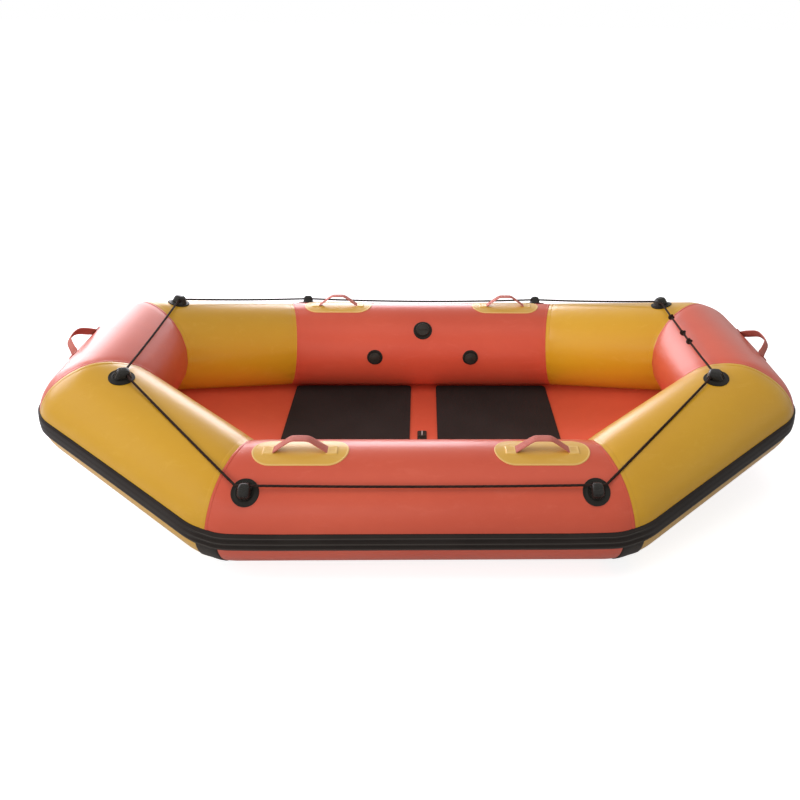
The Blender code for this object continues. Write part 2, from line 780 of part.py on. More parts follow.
def rope_holder(name, frame, turn, finish):
    """A round flange that follows the tube, with a block on it whose eye the rope runs through.

    The block's section lies along the pull, and the eye runs across it.
    """
    lift = HOLDER_FLANGE
    under = [(HOLDER_RADIUS * share, 0) for share in HOLDER_RING_SHARES]
    over = [(HOLDER_RADIUS * share, lift) for share in reversed(HOLDER_RING_SHARES)]
    rim = [(HOLDER_RADIUS, 0), (HOLDER_RADIUS - HOLDER_LIP, lift)]
    points, faces = turned([(0, 0), *under, *rim, *over, (0, lift)], HOLDER_SIDES)
    saddle(points, 0, TUBE_RADIUS)
    flange = solid(name, points, faces, finish, frame)
    top = HOLDER_HEIGHT
    waist = top / 2
    foot = HOLDER_FOOT_FRONT + HOLDER_FOOT_BACK
    feet = [foot * k / HOLDER_FOOT_STEPS - HOLDER_FOOT_BACK for k in range(HOLDER_FOOT_STEPS)]
    section = [
        (HOLDER_FOOT_FRONT, 0),
        ((HOLDER_FOOT_FRONT + HOLDER_TOP_FRONT) / 2 + HOLDER_CROWN / 4, waist),
        (HOLDER_TOP_FRONT, top - HOLDER_CROWN),
        (HOLDER_TOP_FRONT - HOLDER_CROWN, top),
        (HOLDER_CROWN - HOLDER_TOP_BACK, top),
        (-HOLDER_TOP_BACK, top - HOLDER_CROWN),
        (-(HOLDER_FOOT_BACK + HOLDER_TOP_BACK) / 2 - HOLDER_CROWN / 4, waist),
    ]
    section += [(x, 0) for x in feet]
    middle_x = (HOLDER_TOP_FRONT - HOLDER_TOP_BACK) / 2
    block = []
    for across, share in HOLDER_END_SHARES:
        for x, z in section:
            shrunk = middle_x + (x - middle_x) * share
            here = Vector((shrunk, across * HOLDER_HALF_LENGTH, z * (1 + share) / 2))
            if z == 0:
                on_flange = [Matrix.Rotation(turn, 4, "Z") @ here]
                saddle(on_flange, 0, TUBE_RADIUS)
                here.z = on_flange[0].z + lift / 2
            block.append(here)
    count, n = len(HOLDER_END_SHARES), len(section)
    block_faces = rings(count, n, False) + end_faces(count, n)
    turned_frame = frame @ Matrix.Rotation(turn, 4, "Z")
    raised = cutter(f"{name}_block", block, block_faces, turned_frame)
    reach = HOLDER_HALF_LENGTH + OVERRUN
    points, faces = turned(
        [(0, -reach), (HOLDER_EYE_RADIUS, -reach), (HOLDER_EYE_RADIUS, reach), (0, reach)],
        HOLDER_SIDES // 2,
    )
    axis = Matrix.Translation((HOLDER_EYE_OFFSET, 0, HOLDER_EYE_HEIGHT))
    axis = turned_frame @ axis @ Matrix.Rotation(math.pi / 2, 4, "X")
    eye = cutter(f"{name}_eye", points, faces, axis)
    boolean(flange, raised, "UNION")
    boolean(flange, eye, "DIFFERENCE")
    return flange


def eye_ends(frame, turn):
    """The two points just outside an eye's mouths, on its axis."""
    reach = HOLDER_HALF_LENGTH + ROPE_MOUTH
    turned_frame = frame @ Matrix.Rotation(turn, 4, "Z")
    return [
        turned_frame @ Vector((HOLDER_EYE_OFFSET, side * reach, HOLDER_EYE_HEIGHT)) for side in (-1, 1)
    ]


def rounded_corner(before, corner, after):
    """Two points that take the sharpness out of a bend of the rope."""
    return [corner + (other - corner).normalized() * ROPE_BEND for other in (before, after)]


def tube_curve(name, points, radii, finish):
    """A round cord along a closed line of points."""
    curve = bpy.data.curves.new(name, "CURVE")
    curve.dimensions = "3D"
    curve.bevel_depth = ROPE_RADIUS
    curve.bevel_resolution = 2
    spline = curve.splines.new("POLY")
    spline.points.add(len(points) - 1)
    spline.use_cyclic_u = True
    for node, point, radius in zip(spline.points, points, radii):
        node.co = (*point, 1.0)
        node.radius = radius
    curve.materials.append(finish)
    made = bpy.data.objects.new(name, curve)
    bpy.context.collection.objects.link(made)
    return made


def helix_body(name, frame, finish, radius, wire, low, high, turns):
    """A coil spring about local Z from low to high."""
    count = turns * SPRING_STEPS + 1
    points = []
    for i in range(count):
        angle = math.tau * i / SPRING_STEPS
        z = low + wire + (high - low - 2 * wire) * i / (count - 1)
        out = Vector((math.cos(angle), math.sin(angle), 0))
        for j in range(SPRING_SIDES):
            around = math.tau * j / SPRING_SIDES
            shift = out * (wire * math.cos(around)) + UP * (wire * math.sin(around))
            points.append(out * radius + UP * z + shift)
    faces = rings(count, SPRING_SIDES, False) + end_faces(count, SPRING_SIDES)
    return solid(name, points, faces, finish, frame)


def bore(name, frame, radius, low, high, sides=VALVE_SIDES):
    points, faces = turned([(0, low), (radius, low), (radius, high), (0, high)], sides)
    return cutter(name, points, faces, frame)


def inflation_valve(side, frame, tube, black, metal):
    """Body through the tube's wall, a nut inside, a plunger on a spring and a cap over them."""
    bore_r, barrel = VALVE_BORE_RADIUS, VALVE_BARREL_RADIUS
    deep, seat = -VALVE_BARREL_DEPTH, VALVE_SEAT_THICKNESS
    web_top = -VALVE_WEB_DEPTH
    web_low = web_top - VALVE_WEB_THICKNESS
    boss = VALVE_BOSS_HEIGHT
    profile = [
        (VALVE_HUB_RADIUS, web_top),
        (bore_r, web_top),
        (bore_r, boss),
        (VALVE_BOSS_RADIUS, boss),
        (VALVE_BOSS_RADIUS, VALVE_FLANGE),
        (VALVE_RADIUS - VALVE_FLANGE / 2, VALVE_FLANGE),
        (VALVE_RADIUS, VALVE_FLANGE / 2),
        (VALVE_RADIUS, SEAT_GAP),
        (barrel, SEAT_GAP),
        (barrel, deep),
        (VALVE_SEAT_RADIUS, deep),
        (VALVE_SEAT_RADIUS, deep + seat),
        (bore_r, deep + 2 * seat),
        (bore_r, web_low),
        (VALVE_HUB_RADIUS, web_low),
    ]
    points, faces = turned(profile, VALVE_SIDES)
    saddle(points, VALVE_BOSS_RADIUS + SEAT_GAP, TUBE_RADIUS)
    body = solid(f"{side}_valve_body", points, faces, black, frame)
    ring = (VALVE_HUB_RADIUS + bore_r) / 2
    for k in range(VALVE_PORTS):
        turn = Matrix.Rotation(math.tau * (k + 0.5) / VALVE_PORTS, 4, "Z") @ Matrix.Translation((ring, 0, 0))
        low, high = web_low - SEAT_GAP, web_top + SEAT_GAP
        port = bore(f"{side}_valve_port_{k}", frame @ turn, VALVE_PORT_RADIUS, low, high, PORT_SIDES)
        boolean(body, port, "DIFFERENCE")

    nut_top = INNER_FACET - TUBE_RADIUS - SEAT_GAP
    nut = [(barrel + SEAT_GAP, nut_top), (VALVE_NUT_RADIUS, nut_top)]
    nut_low = nut_top - VALVE_NUT_THICKNESS
    nut += [(VALVE_NUT_RADIUS, nut_low), (barrel + SEAT_GAP, nut_low)]
    points, faces = turned(nut, VALVE_SIDES)
    saddle(points, 0, INNER_FACET)
    solid(f"{side}_valve_nut", points, faces, black, frame)

    head_top = boss - PLUNGER_HEAD_DEPTH
    head_low = head_top - PLUNGER_HEAD_THICKNESS
    disc_top = deep - SEAT_GAP
    disc_low = disc_top - PLUNGER_DISC_THICKNESS
    stem = PLUNGER_STEM_RADIUS
    profile = [(0, disc_low), (PLUNGER_DISC_RADIUS, disc_low), (PLUNGER_DISC_RADIUS, disc_top)]
    profile += [(stem, disc_top), (stem, head_low), (PLUNGER_HEAD_RADIUS, head_low)]
    profile += [(PLUNGER_HEAD_RADIUS, head_top), (0, head_top)]
    points, faces = turned(profile, VALVE_SIDES // 2)
    solid(f"{side}_valve_plunger", points, faces, black, frame)
    helix_body(
        f"{side}_valve_spring",
        frame,
        metal,
        SPRING_RADIUS,
        SPRING_WIRE_RADIUS,
        web_top + SEAT_GAP,
        head_low - SEAT_GAP,
        SPRING_TURNS,
    )

    skirt = VALVE_BOSS_RADIUS + SEAT_GAP
    outer = skirt + CAP_WALL
    sag = VALVE_FLANGE + SEAT_GAP
    inside = boss + SEAT_GAP

    def fluted(angle, radius, height):
        if radius < outer or height < sag + CAP_WALL:
            return radius
        return radius - CAP_FLUTE_DEPTH * (1 + math.cos(CAP_FLUTES * angle)) / 2

    profile = [(0, inside), (skirt, inside), (skirt, sag), (outer, sag), (outer, sag + CAP_WALL)]
    profile += [(outer, inside + CAP_TOP / 2), (outer - CAP_TOP, inside + CAP_TOP)]
    profile += [dome_point(outer, inside + CAP_TOP, CAP_DOME), (0, inside + CAP_TOP + CAP_DOME)]
    points, faces = turned(profile, VALVE_SIDES, fluted)
    solid(f"{side}_valve_cap", points, faces, black, frame)

    hole = bore(f"{side}_valve_hole", frame, barrel + SEAT_GAP, -VALVE_BARREL_DEPTH, VALVE_BOSS_HEIGHT)
    boolean(tube, hole, "DIFFERENCE")


def joining_valve(frame, tube, wall, black, seal_finish):
    """A plug valve set over the baffle: its ports open one chamber to the other when the knob is turned."""
    barrel, deep = JOIN_BARREL_RADIUS, -JOIN_BARREL_DEPTH
    bore_r, boss = JOIN_BORE_RADIUS, JOIN_BOSS_HEIGHT
    profile = [
        (0, deep + JOIN_FLOOR),
        (bore_r, deep + JOIN_FLOOR),
        (bore_r, boss - SEAL_DEPTH - 2 * SEAL_WIRE_RADIUS),
        (bore_r + 2 * SEAL_WIRE_RADIUS + SEAT_GAP, boss - SEAL_DEPTH - 2 * SEAL_WIRE_RADIUS),
        (bore_r + 2 * SEAL_WIRE_RADIUS + SEAT_GAP, boss),
        (JOIN_BOSS_RADIUS, boss),
        (JOIN_BOSS_RADIUS, JOIN_FLANGE),
        (JOIN_RADIUS - JOIN_FLANGE / 2, JOIN_FLANGE),
        (JOIN_RADIUS, JOIN_FLANGE / 2),
        (JOIN_RADIUS, SEAT_GAP),
        (barrel, SEAT_GAP),
        (barrel, deep),
        (0, deep),
    ]
    points, faces = turned(profile, VALVE_SIDES)
    saddle(points, JOIN_BOSS_RADIUS + SEAT_GAP, TUBE_RADIUS)
    body = solid("joining_valve_body", points, faces, black, frame)
    reach = barrel + OVERRUN
    across = frame @ Matrix.Translation((0, 0, -JOIN_PORT_DEPTH)) @ Matrix.Rotation(math.pi / 2, 4, "Y")
    body_port = bore("joining_valve_body_port", across, JOIN_PORT_RADIUS, -reach, reach, JOIN_PORT_SIDES)
    boolean(body, body_port, "DIFFERENCE")

    nut_top = INNER_FACET - TUBE_RADIUS - SEAT_GAP
    nut_low = nut_top - JOIN_NUT_THICKNESS
    profile = [(barrel + SEAT_GAP, nut_top), (JOIN_NUT_RADIUS, nut_top)]
    profile += [(JOIN_NUT_RADIUS, nut_low), (barrel + SEAT_GAP, nut_low)]
    points, faces = turned(profile, VALVE_SIDES)
    saddle(points, 0, INNER_FACET)
    solid("joining_valve_nut", points, faces, black, frame)

    plug = bore_r - SEAT_GAP
    cap_low = boss + SEAT_GAP
    cap_top = cap_low + KNOB_THICKNESS
    profile = [(0, deep + JOIN_FLOOR + SEAT_GAP), (plug, deep + JOIN_FLOOR + SEAT_GAP)]
    profile += [(plug, cap_low), (KNOB_RADIUS, cap_low), (KNOB_RADIUS, cap_low + KNOB_THICKNESS / 2)]
    profile += [(KNOB_RADIUS * KNOB_RIM_SHARE, cap_top), dome_point(KNOB_RADIUS, cap_top, KNOB_DOME)]
    profile += [(0, cap_top + KNOB_DOME)]
    points, faces = turned(profile, VALVE_SIDES)
    knob = solid("joining_valve_knob", points, faces, black, frame)
    outline = grip_outline(KNOB_GRIP_HALF_LENGTH, KNOB_GRIP_HALF_WIDTH)
    points, faces = prism(outline, cap_low + KNOB_THICKNESS / 2, cap_top + KNOB_GRIP_HEIGHT)
    boolean(knob, cutter("joining_valve_grip", points, faces, frame), "UNION")
    knob_port = bore("joining_valve_knob_port", across, JOIN_PORT_RADIUS, -reach, reach, JOIN_PORT_SIDES)
    boolean(knob, knob_port, "DIFFERENCE")

    profile = []
    middle = bore_r + SEAT_GAP / 2 + SEAL_WIRE_RADIUS
    for j in range(SEAL_SIDES):
        around = math.tau * j / SEAL_SIDES
        radius = middle + (SEAL_WIRE_RADIUS - SEAT_GAP / 2) * math.cos(around)
        squeezed = 1 - SEAL_SQUEEZE_SHARE * math.sin(around)
        profile.append((radius, boss - SEAL_DEPTH - SEAL_WIRE_RADIUS * squeezed))
    points, faces = turned(profile, VALVE_SIDES)
    solid("joining_valve_seal", points, faces, seal_finish, frame)

    outside = bore("joining_valve_hole", frame, barrel + SEAT_GAP, deep, boss)
    boolean(tube, outside, "DIFFERENCE")
    slot = nut_low - SEAT_GAP - JOIN_NUT_RADIUS ** 2 / TUBE_RADIUS / 2
    narrow, wide = barrel + SEAT_GAP, JOIN_NUT_RADIUS + JOIN_NUT_STOP
    profile = [(0, deep - SEAT_GAP), (narrow, deep - SEAT_GAP), (narrow, slot), (wide, slot)]
    profile += [(wide, boss), (0, boss)]
    points, faces = turned(profile, VALVE_SIDES)
    boolean(wall, cutter("joining_valve_seat", points, faces, frame), "DIFFERENCE")


def floor_drain(floor, black):
    """A flanged sleeve through the floor sheet, with a screw plug in it."""
    frame = Matrix.Translation((DRAIN_X, DRAIN_Y, FLOOR_Z))
    low = SEAT_GAP
    outline = rounded_rectangle(DRAIN_HALF_WIDTH, DRAIN_HALF_LENGTH, DRAIN_CORNER)
    points, faces = prism(outline, low, low + DRAIN_FLANGE)
    body = solid("drain_body", points, faces, black, frame)
    top = low + DRAIN_FLANGE + DRAIN_COLLAR_HEIGHT
    collar = [(0, -DRAIN_SLEEVE_DEPTH), (DRAIN_SLEEVE_RADIUS, -DRAIN_SLEEVE_DEPTH)]
    collar += [(DRAIN_SLEEVE_RADIUS, low + DRAIN_FLANGE / 2), (DRAIN_COLLAR_RADIUS, low + DRAIN_FLANGE / 2)]
    collar += [(DRAIN_COLLAR_RADIUS, top), (0, top)]
    points, faces = turned(collar, DRAIN_SIDES)
    boolean(body, cutter("drain_collar", points, faces, frame), "UNION")
    reach = DRAIN_SLEEVE_DEPTH + OVERRUN
    sleeve = bore("drain_bore", frame, DRAIN_BORE_RADIUS, -reach, top + OVERRUN, DRAIN_SIDES)
    boolean(body, sleeve, "DIFFERENCE")

    shank = DRAIN_BORE_RADIUS - SEAT_GAP
    under = top + SEAT_GAP
    head = under + PLUG_HEAD_THICKNESS
    profile = [(0, under - PLUG_DEPTH), (shank, under - PLUG_DEPTH), (shank, under)]
    profile += [(PLUG_HEAD_RADIUS, under), (PLUG_HEAD_RADIUS, head), (0, head)]
    points, faces = turned(profile, DRAIN_SIDES)
    plug = solid("drain_plug", points, faces, black, frame)
    outline = grip_outline(PLUG_GRIP_HALF_WIDTH, PLUG_GRIP_HALF_LENGTH)
    points, faces = prism(outline, under + PLUG_HEAD_THICKNESS / 2, head + PLUG_GRIP_HEIGHT)
    boolean(plug, cutter("drain_grip", points, faces, frame), "UNION")
    hole_low = -FLOOR_THICKNESS - OVERRUN
    hole = bore("drain_hole", frame, DRAIN_SLEEVE_RADIUS + SEAT_GAP, hole_low, OVERRUN, DRAIN_SIDES)
    boolean(floor, hole, "DIFFERENCE")


def grab_line(frames, turns, finish):
    """One rope in a closed loop through the eight eyes, its ends knotted together over the right end.

    Each span sags a little between its eyes, and the radius swells at the knots.
    """
    mouths = {}
    for i, name in enumerate(ROPE_ROUTE):
        first, second = eye_ends(frames[name], turns[name])
        before = frames[ROPE_ROUTE[i - 1]].translation
        if (first - before).length > (second - before).length:
            first, second = second, first
        mouths[name] = (first, second)
    points = []
    swell = []
    count = len(ROPE_ROUTE)
    for i, name in enumerate(ROPE_ROUTE):
        following = ROPE_ROUTE[(i + 1) % count]
        first, second = mouths[name]
        before = mouths[ROPE_ROUTE[i - 1]][1]
        after = mouths[following][0]
        bends = rounded_corner(before, first, second) + rounded_corner(first, second, after)
        points += bends
        swell += [1.0] * len(bends)
        knotted = name == KNOTTED_SPAN_FROM
        stops = [(share, 1.0) for share in SPAN_SHARES]
        if knotted:
            for share in KNOT_SHARES:
                reach = KNOT_REACH / (after - second).length
                stops += [(share - reach, 1.0), (share, KNOT_RADIUS / ROPE_RADIUS), (share + reach, 1.0)]
            stops.sort()
        for share, size in stops:
            drop = SPAN_SAG * SPAN_SAG_SHARES[i] * 4 * share * (1 - share)
            points.append(second.lerp(after, share) - UP * drop)
            swell.append(size)
    return tube_curve("grab_line", points, swell, finish)


def build():
    clear_scene()
    red = material("red_pvc", (0.58, 0.075, 0.042), 0.38)
    yellow = material("yellow_pvc", (0.70, 0.37, 0.035), 0.38)
    rubber = material("black_rubber", (0.02, 0.018, 0.017), 0.55)
    mat_black = material("mat_black", (0.016, 0.014, 0.013), 0.75)
    webbing = material("webbing_red", (0.36, 0.05, 0.035), 0.7)
    rope = material("rope_black", (0.015, 0.012, 0.012), 0.8)
    plastic = material("valve_black", (0.022, 0.022, 0.022), 0.4)
    steel = material("spring_steel", (0.6, 0.6, 0.62), 0.3, 1.0)

    runs = hull_runs()
    tubes = {}
    for name, run in runs.items():
        tubes[name] = tube_panel(run, yellow if name.startswith("quarter") else red)
    baffle("baffle_front", runs["side_tube_front"], red)
    back_wall = baffle("baffle_back", runs["side_tube_back"], red)
    floor = floor_sheet(runs, red)
    mat("mat_left", -MAT_LEFT_INNER_X, -MAT_OUTER_X, mat_black)
    mat("mat_right", MAT_RIGHT_INNER_X, MAT_OUTER_X, mat_black)

    line = StrakeLine(runs)
    ring = list(runs.values())
    front = [ring[6], ring[7], ring[0], ring[1], ring[2]]
    back = [ring[2], ring[3], ring[4], ring[5], ring[6]]
    strake_half("strake_front", front, line, rubber)
    strake_half("strake_back", back, line, rubber)
    corners = (
        ("front_left", "quarter_tube_front_left", "side_tube_front"),
        ("front_right", "side_tube_front", "quarter_tube_front_right"),
        ("back_right", "quarter_tube_back_right", "side_tube_back"),
        ("back_left", "side_tube_back", "quarter_tube_back_left"),
    )
    for corner, before, after in corners:
        wear_patch(f"wear_patch_{corner}", runs[before], runs[after], line, rubber)

    for side in ("front", "back"):
        run = runs[f"side_tube_{side}"]
        for end, x in (("left", -PATCH_CENTRE_X), ("right", PATCH_CENTRE_X)):
            t = run.length / 2 + x * run.along.x
            handle_patch(f"handle_patch_{side}_{end}", run, t, yellow)
            top = snug(PATCH_WIDTH / PATCH_ROWS / TUBE_RADIUS) + PATCH_THICKNESS
            frame = run.frame(t, PATCH_ANGLE, top)
            name = f"handle_{side}_{end}"
            webbing_loop(name, frame, SIDE_LOOP_HALF, SIDE_LOOP_HEIGHT, SIDE_LOOP_SHARES, SEAT_GAP, webbing)
    for end in ("left", "right"):
        run = runs[f"end_tube_{end}"]
        frame = run.frame(run.length / 2, END_LOOP_ANGLE, TUBE_RADIUS)
        name = f"handle_end_{end}"
        webbing_loop(name, frame, END_LOOP_HALF, END_LOOP_HEIGHT, END_LOOP_SHARES, SEAT_GAP, webbing)

    frames = holder_frames(runs)
    turns = eye_turns(frames)
    for name in ROPE_ROUTE:
        rope_holder(f"rope_holder_{name}", frames[name], turns[name], plastic)
    grab_line(frames, turns, rope)

    tube = tubes["side_tube_back"]
    run = runs["side_tube_back"]
    for side, x in (("left", BAFFLE_X - VALVE_X), ("right", BAFFLE_X + VALVE_X)):
        t = run.length / 2 + x * run.along.x
        inflation_valve(side, run.frame(t, math.pi - VALVE_ANGLE, TUBE_RADIUS), tube, plastic, steel)
    t = run.length / 2 + BAFFLE_X * run.along.x
    frame = run.frame(t, math.pi - JOIN_ANGLE, TUBE_RADIUS)
    joining_valve(frame, tube, back_wall, plastic, rubber)
    floor_drain(floor, plastic)


build()
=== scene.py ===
"""Dressed model of a small two-ended inflatable raft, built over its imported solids.

Metres, +X along the raft, +Z up. Each new piece is a surface of two parameters worked out as whole arrays.
Most pieces lie on one surface, the inflated skin of the hull ring. A run of tube, a distance t along it and
an angle about its axis, counted from the outward side up, make a place, and a lift is along the normal.
A profile is (radius, height) pairs, a shape is points and faces, a finish is a material and its slot.
"""

import math

import bmesh
import bpy
import numpy as np
from mathutils import Matrix, Vector


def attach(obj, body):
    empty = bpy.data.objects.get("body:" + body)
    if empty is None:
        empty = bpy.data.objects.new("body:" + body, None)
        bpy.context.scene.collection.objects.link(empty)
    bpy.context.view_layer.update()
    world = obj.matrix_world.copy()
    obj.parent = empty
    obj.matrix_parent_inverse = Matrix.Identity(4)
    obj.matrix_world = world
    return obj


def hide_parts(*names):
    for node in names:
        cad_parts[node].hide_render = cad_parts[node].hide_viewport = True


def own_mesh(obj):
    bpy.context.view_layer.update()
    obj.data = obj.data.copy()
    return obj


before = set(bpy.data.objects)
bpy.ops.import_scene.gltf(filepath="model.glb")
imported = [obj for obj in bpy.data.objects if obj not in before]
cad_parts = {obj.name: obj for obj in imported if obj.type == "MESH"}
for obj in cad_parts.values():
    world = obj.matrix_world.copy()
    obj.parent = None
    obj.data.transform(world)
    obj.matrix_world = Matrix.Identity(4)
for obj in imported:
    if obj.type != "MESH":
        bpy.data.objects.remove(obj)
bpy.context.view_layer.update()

# Hull ring
TUBE_RADIUS = 0.165
TUBE_WALL = 0.001
HULL_HEIGHT = 0.168369
SIDE_HALF_LENGTH = 0.529
SIDE_HALF_SPACING = 0.499
END_DISTANCE = 0.984
END_HALF_LENGTH = 0.216
END_RISE = 0.128
UNDERSIDE_LIFT = 0.0001

# How air pressure shapes the ring: outward corners rounded, seams drawn in, end tubes swollen
CORNER_REACH = 0.075
SEAM_DIP = 0.0016
SEAM_DIP_REACH = 0.022
PUCKER = 0.0011
PUCKER_REACH = 0.038
PUCKERS = 22
END_SWELL = 0.010

# Floor and mats
FLOOR_CONTACT = math.radians(64)
FLOOR_Z = 0.020068
FLOOR_BEND_X = 0.505
FLOOR_GAP = 0.0004
FLOOR_TUCK = 0.0028
FLOOR_THICKNESS = 0.0012
FLOOR_BEND = 0.03
RIPPLE_HEIGHT = 0.0009
RIPPLE_WAVES = 118
FLOOR_SAG = 0.0035
MAT_SPANS = {"left": (-0.497, -0.042), "right": (0.057, 0.497)}
MAT_HALF_WIDTH = 0.41
MAT_THICKNESS = 0.005

# Strake
STRAKE_HALF = 0.028
STRAKE_EDGE = 0.0030
STRAKE_BASE = 0.0045
STRAKE_RIB = 0.0032
STRAKE_SPACING = 0.0185
STRAKE_BLEND = 0.2
STRAKE_BUTT = 0.0003
RIB_LEFT = 0.08
RIB_FADE = 0.05
RIB_ROUND = (0.0066, 0.0032)
# Half width and soft edge of the painted highlight lines on the rib crests
CREST_ROUND = (0.0022, 0.0016)
WEAR_EDGE = 0.0004
WEAR_THICKNESS = 0.0020
STRAKE_ANGLES = {name: math.radians(a) for name, a in
                 (("side", -5.4), ("bow", -3.3), ("corner", 0.2), ("end", 4.2))}

# Handles and rope holders
PATCH_X = 0.331
PATCH_ANGLE = math.radians(88)
PATCH_HALF_LENGTH = 0.132
PATCH_HALF_WIDTH = 0.056
STRAP_HALF_WIDTH = 0.0145
STRAP_THICKNESS = 0.0026
STRAP_TAB = 0.026
SIDE_ARCH = (0.073, 0.038, ((0.95, 0.07), (0.72, 0.42), (0.44, 0.84), (0.30, 0.99), (0.10, 1.0)))
END_ARCH = (0.076, 0.043, ((0.94, 0.14), (0.74, 0.50), (0.54, 0.82), (0.34, 0.97), (0.10, 1.0)))
END_ARCH_DROOP = 0.009
END_ARCH_ANGLE = math.radians(45)
HOLDER_X = 0.462
HOLDER_SETBACK = 0.086
HOLDER_ANGLES = {"front": math.radians(43), "back": math.radians(60)}
EYE_OFFSET = 0.016
EYE_HEIGHT = 0.014
EYE_HALF = 0.019
ROPE_RADIUS = 0.004
CORD_LAY = 0.018
CORD_FILL = 0.88
CORD_DEPTH = 0.08
SPAN_SAG = 0.004
ROPE_ROUTE = (("front_left", 1.0), ("front_right", 0.5), ("quarter_front_right", 1.0),
              ("quarter_back_right", 0.75), ("back_right", 2.25), ("back_left", 0.75),
              ("quarter_back_left", 1.0), ("quarter_front_left", 0.5))
KNOT_SPAN = 2
KNOT_SHARES = (0.415, 0.545, 0.78)

# Valves and drain
CHAMBER_X = 0.0035
VALVE_HOLE = 0.0195
JOIN_HOLE = 0.025
BAFFLE_HOLE = 0.033
BAFFLE_HOLE_REACH = 0.06
VALVE_REACH = 0.1835
VALVE_ANGLE = math.pi - math.radians(7.2)
JOIN_ANGLE = math.pi - math.radians(44)
DRAIN_PLACE = (0.002, 0.048)
DRAIN_CORNER = 0.006
SPRING_LOW = -0.0117
SPRING_HIGH = 0.0022


def unit(v):
    """Vectors drawn to a length of 1."""
    return v / np.linalg.norm(v, axis=-1, keepdims=True)


def smooth(x):
    """Smooth step: 3x^2 - 2x^3 of x held between 0 and 1."""
    x = np.clip(x, 0.0, 1.0)
    return x * x * (3 - 2 * x)


RUNS = ("side_tube_front", "quarter_tube_front_right", "end_tube_right", "quarter_tube_back_right",
        "side_tube_back", "quarter_tube_back_left", "end_tube_left", "quarter_tube_front_left")
_a, _w, _b, _v = SIDE_HALF_LENGTH, SIDE_HALF_SPACING, END_DISTANCE, END_HALF_LENGTH
_low, _high = HULL_HEIGHT, HULL_HEIGHT + END_RISE
START = np.array(((-_a, -_w, _low), (_a, -_w, _low), (_b, -_v, _high), (_b, _v, _high),
                  (_a, _w, _low), (-_a, _w, _low), (-_b, _v, _high), (-_b, -_v, _high)))
FINISH = np.roll(START, -1, axis=0)
LENGTH = np.linalg.norm(FINISH - START, axis=1)
ALONG = unit(FINISH - START)
UP = np.array((0, 0, 1.0))
UPWARD = unit(UP - ALONG * ALONG[:, 2:])
OUTWARD = np.cross(ALONG, UPWARD)
BEFORE = np.roll(ALONG, 1, axis=0)
AFTER = np.roll(ALONG, -1, axis=0)


def radial(run, angle):
    """Outward direction cos(angle) plus upward direction sin(angle)."""
    angle = np.asarray(angle, float)[..., None]
    return OUTWARD[run] * np.cos(angle) + UPWARD[run] * np.sin(angle)


def mitre(run, angle, far):
    """Distance along a run at which its line at an angle crosses the mitre plane at its near or far end."""
    plane = unit(ALONG[run] + (AFTER[run] if far else BEFORE[run]))
    crossing = -(radial(run, angle) @ plane) * TUBE_RADIUS / (ALONG[run] @ plane)
    return crossing + (LENGTH[run] if far else 0.0)


def bare(run, t, angle):
    """Points of the skin and how far they are drawn in.

    A line of the tube is straight. Round an outward corner it is the quadratic curve M + (1-w)^2 L u +
    w^2 L v, with M on the mitre, u and v along the two tubes and w from 0 to 1; L fades to nothing on the
    inward side. The skin is drawn in along a seam by a bell curve of the distance, and into cosine puckers
    round it. An end tube swells outward by sin^2 of its share of length times cos^2 of the angle.
    """
    t, angle = np.broadcast_arrays(np.asarray(t, float), np.asarray(angle, float))
    low, high = mitre(run, angle, False), mitre(run, angle, True)
    at_start = (t - low) < (high - t)
    pick = at_start[..., None]
    s = np.where(at_start, t - low, high - t)
    middle_of_mitre = START[run] + ALONG[run] * np.where(at_start, low, high)[..., None]
    on_mitre = middle_of_mitre + radial(run, angle) * TUBE_RADIUS
    u = np.where(pick, ALONG[run], -ALONG[run])
    v = np.where(pick, -BEFORE[run], AFTER[run])
    spoke = (on_mitre - np.where(pick, START[run], FINISH[run])) / TUBE_RADIUS
    bend = -unit(u + v)
    outness = (spoke * bend).sum(-1)
    side = (spoke * unit(np.cross(u, v))).sum(-1)
    reach = CORNER_REACH * smooth(outness * 1.15) + 1e-5
    held = np.clip(s, -reach, reach)
    w = ((1 - held / reach) / 2)[..., None]
    beyond = (s - held)[..., None]
    points = on_mitre + (1 - w) ** 2 * reach[..., None] * u + w ** 2 * reach[..., None] * v
    points = points + np.maximum(beyond, 0) * u + np.maximum(-beyond, 0) * v
    if RUNS[run].startswith("end"):
        share = np.clip((t - low) / (high - low), 0, 1)
        swell = END_SWELL * np.sin(math.pi * share) ** 2 * np.clip(np.cos(angle), 0, 1) ** 2
        points = points + OUTWARD[run] * swell[..., None]
    round_corner = np.arctan2(side, outness)
    drawn = SEAM_DIP * np.exp(-((s / SEAM_DIP_REACH) ** 2))
    ripple = 0.5 + 0.5 * np.cos(PUCKERS * round_corner)
    inward = 0.25 + 0.75 * smooth(0.3 - outness)
    drawn = drawn + PUCKER * ripple * inward * np.exp(-np.abs(s) / PUCKER_REACH)
    return points, drawn


def skin(run, t, angle, lift=0.0):
    """Points at a lift over the skin, along the cross product of its two differences."""
    t, angle, lift = np.broadcast_arrays(*(np.asarray(x, float) for x in (t, angle, lift)))
    step = 0.0015
    turn = step / TUBE_RADIUS
    points, drawn = bare(run, t, angle)
    down_tube = bare(run, t + step, angle)[0] - bare(run, t - step, angle)[0]
    round_tube = bare(run, t, angle + turn)[0] - bare(run, t, angle - turn)[0]
    normal = unit(np.cross(down_tube, round_tube))
    return points + normal * (lift - drawn)[..., None]


def along_x(run, x):
    """Distance along a side tube of a place x along the raft."""
    return LENGTH[run] / 2 + x * ALONG[run][0]


def frame_of(x, y, z, origin):
    """A frame from its three axes and its origin."""
    return Matrix([*np.stack((x, y, z, origin), 1).tolist(), [0, 0, 0, 1]])


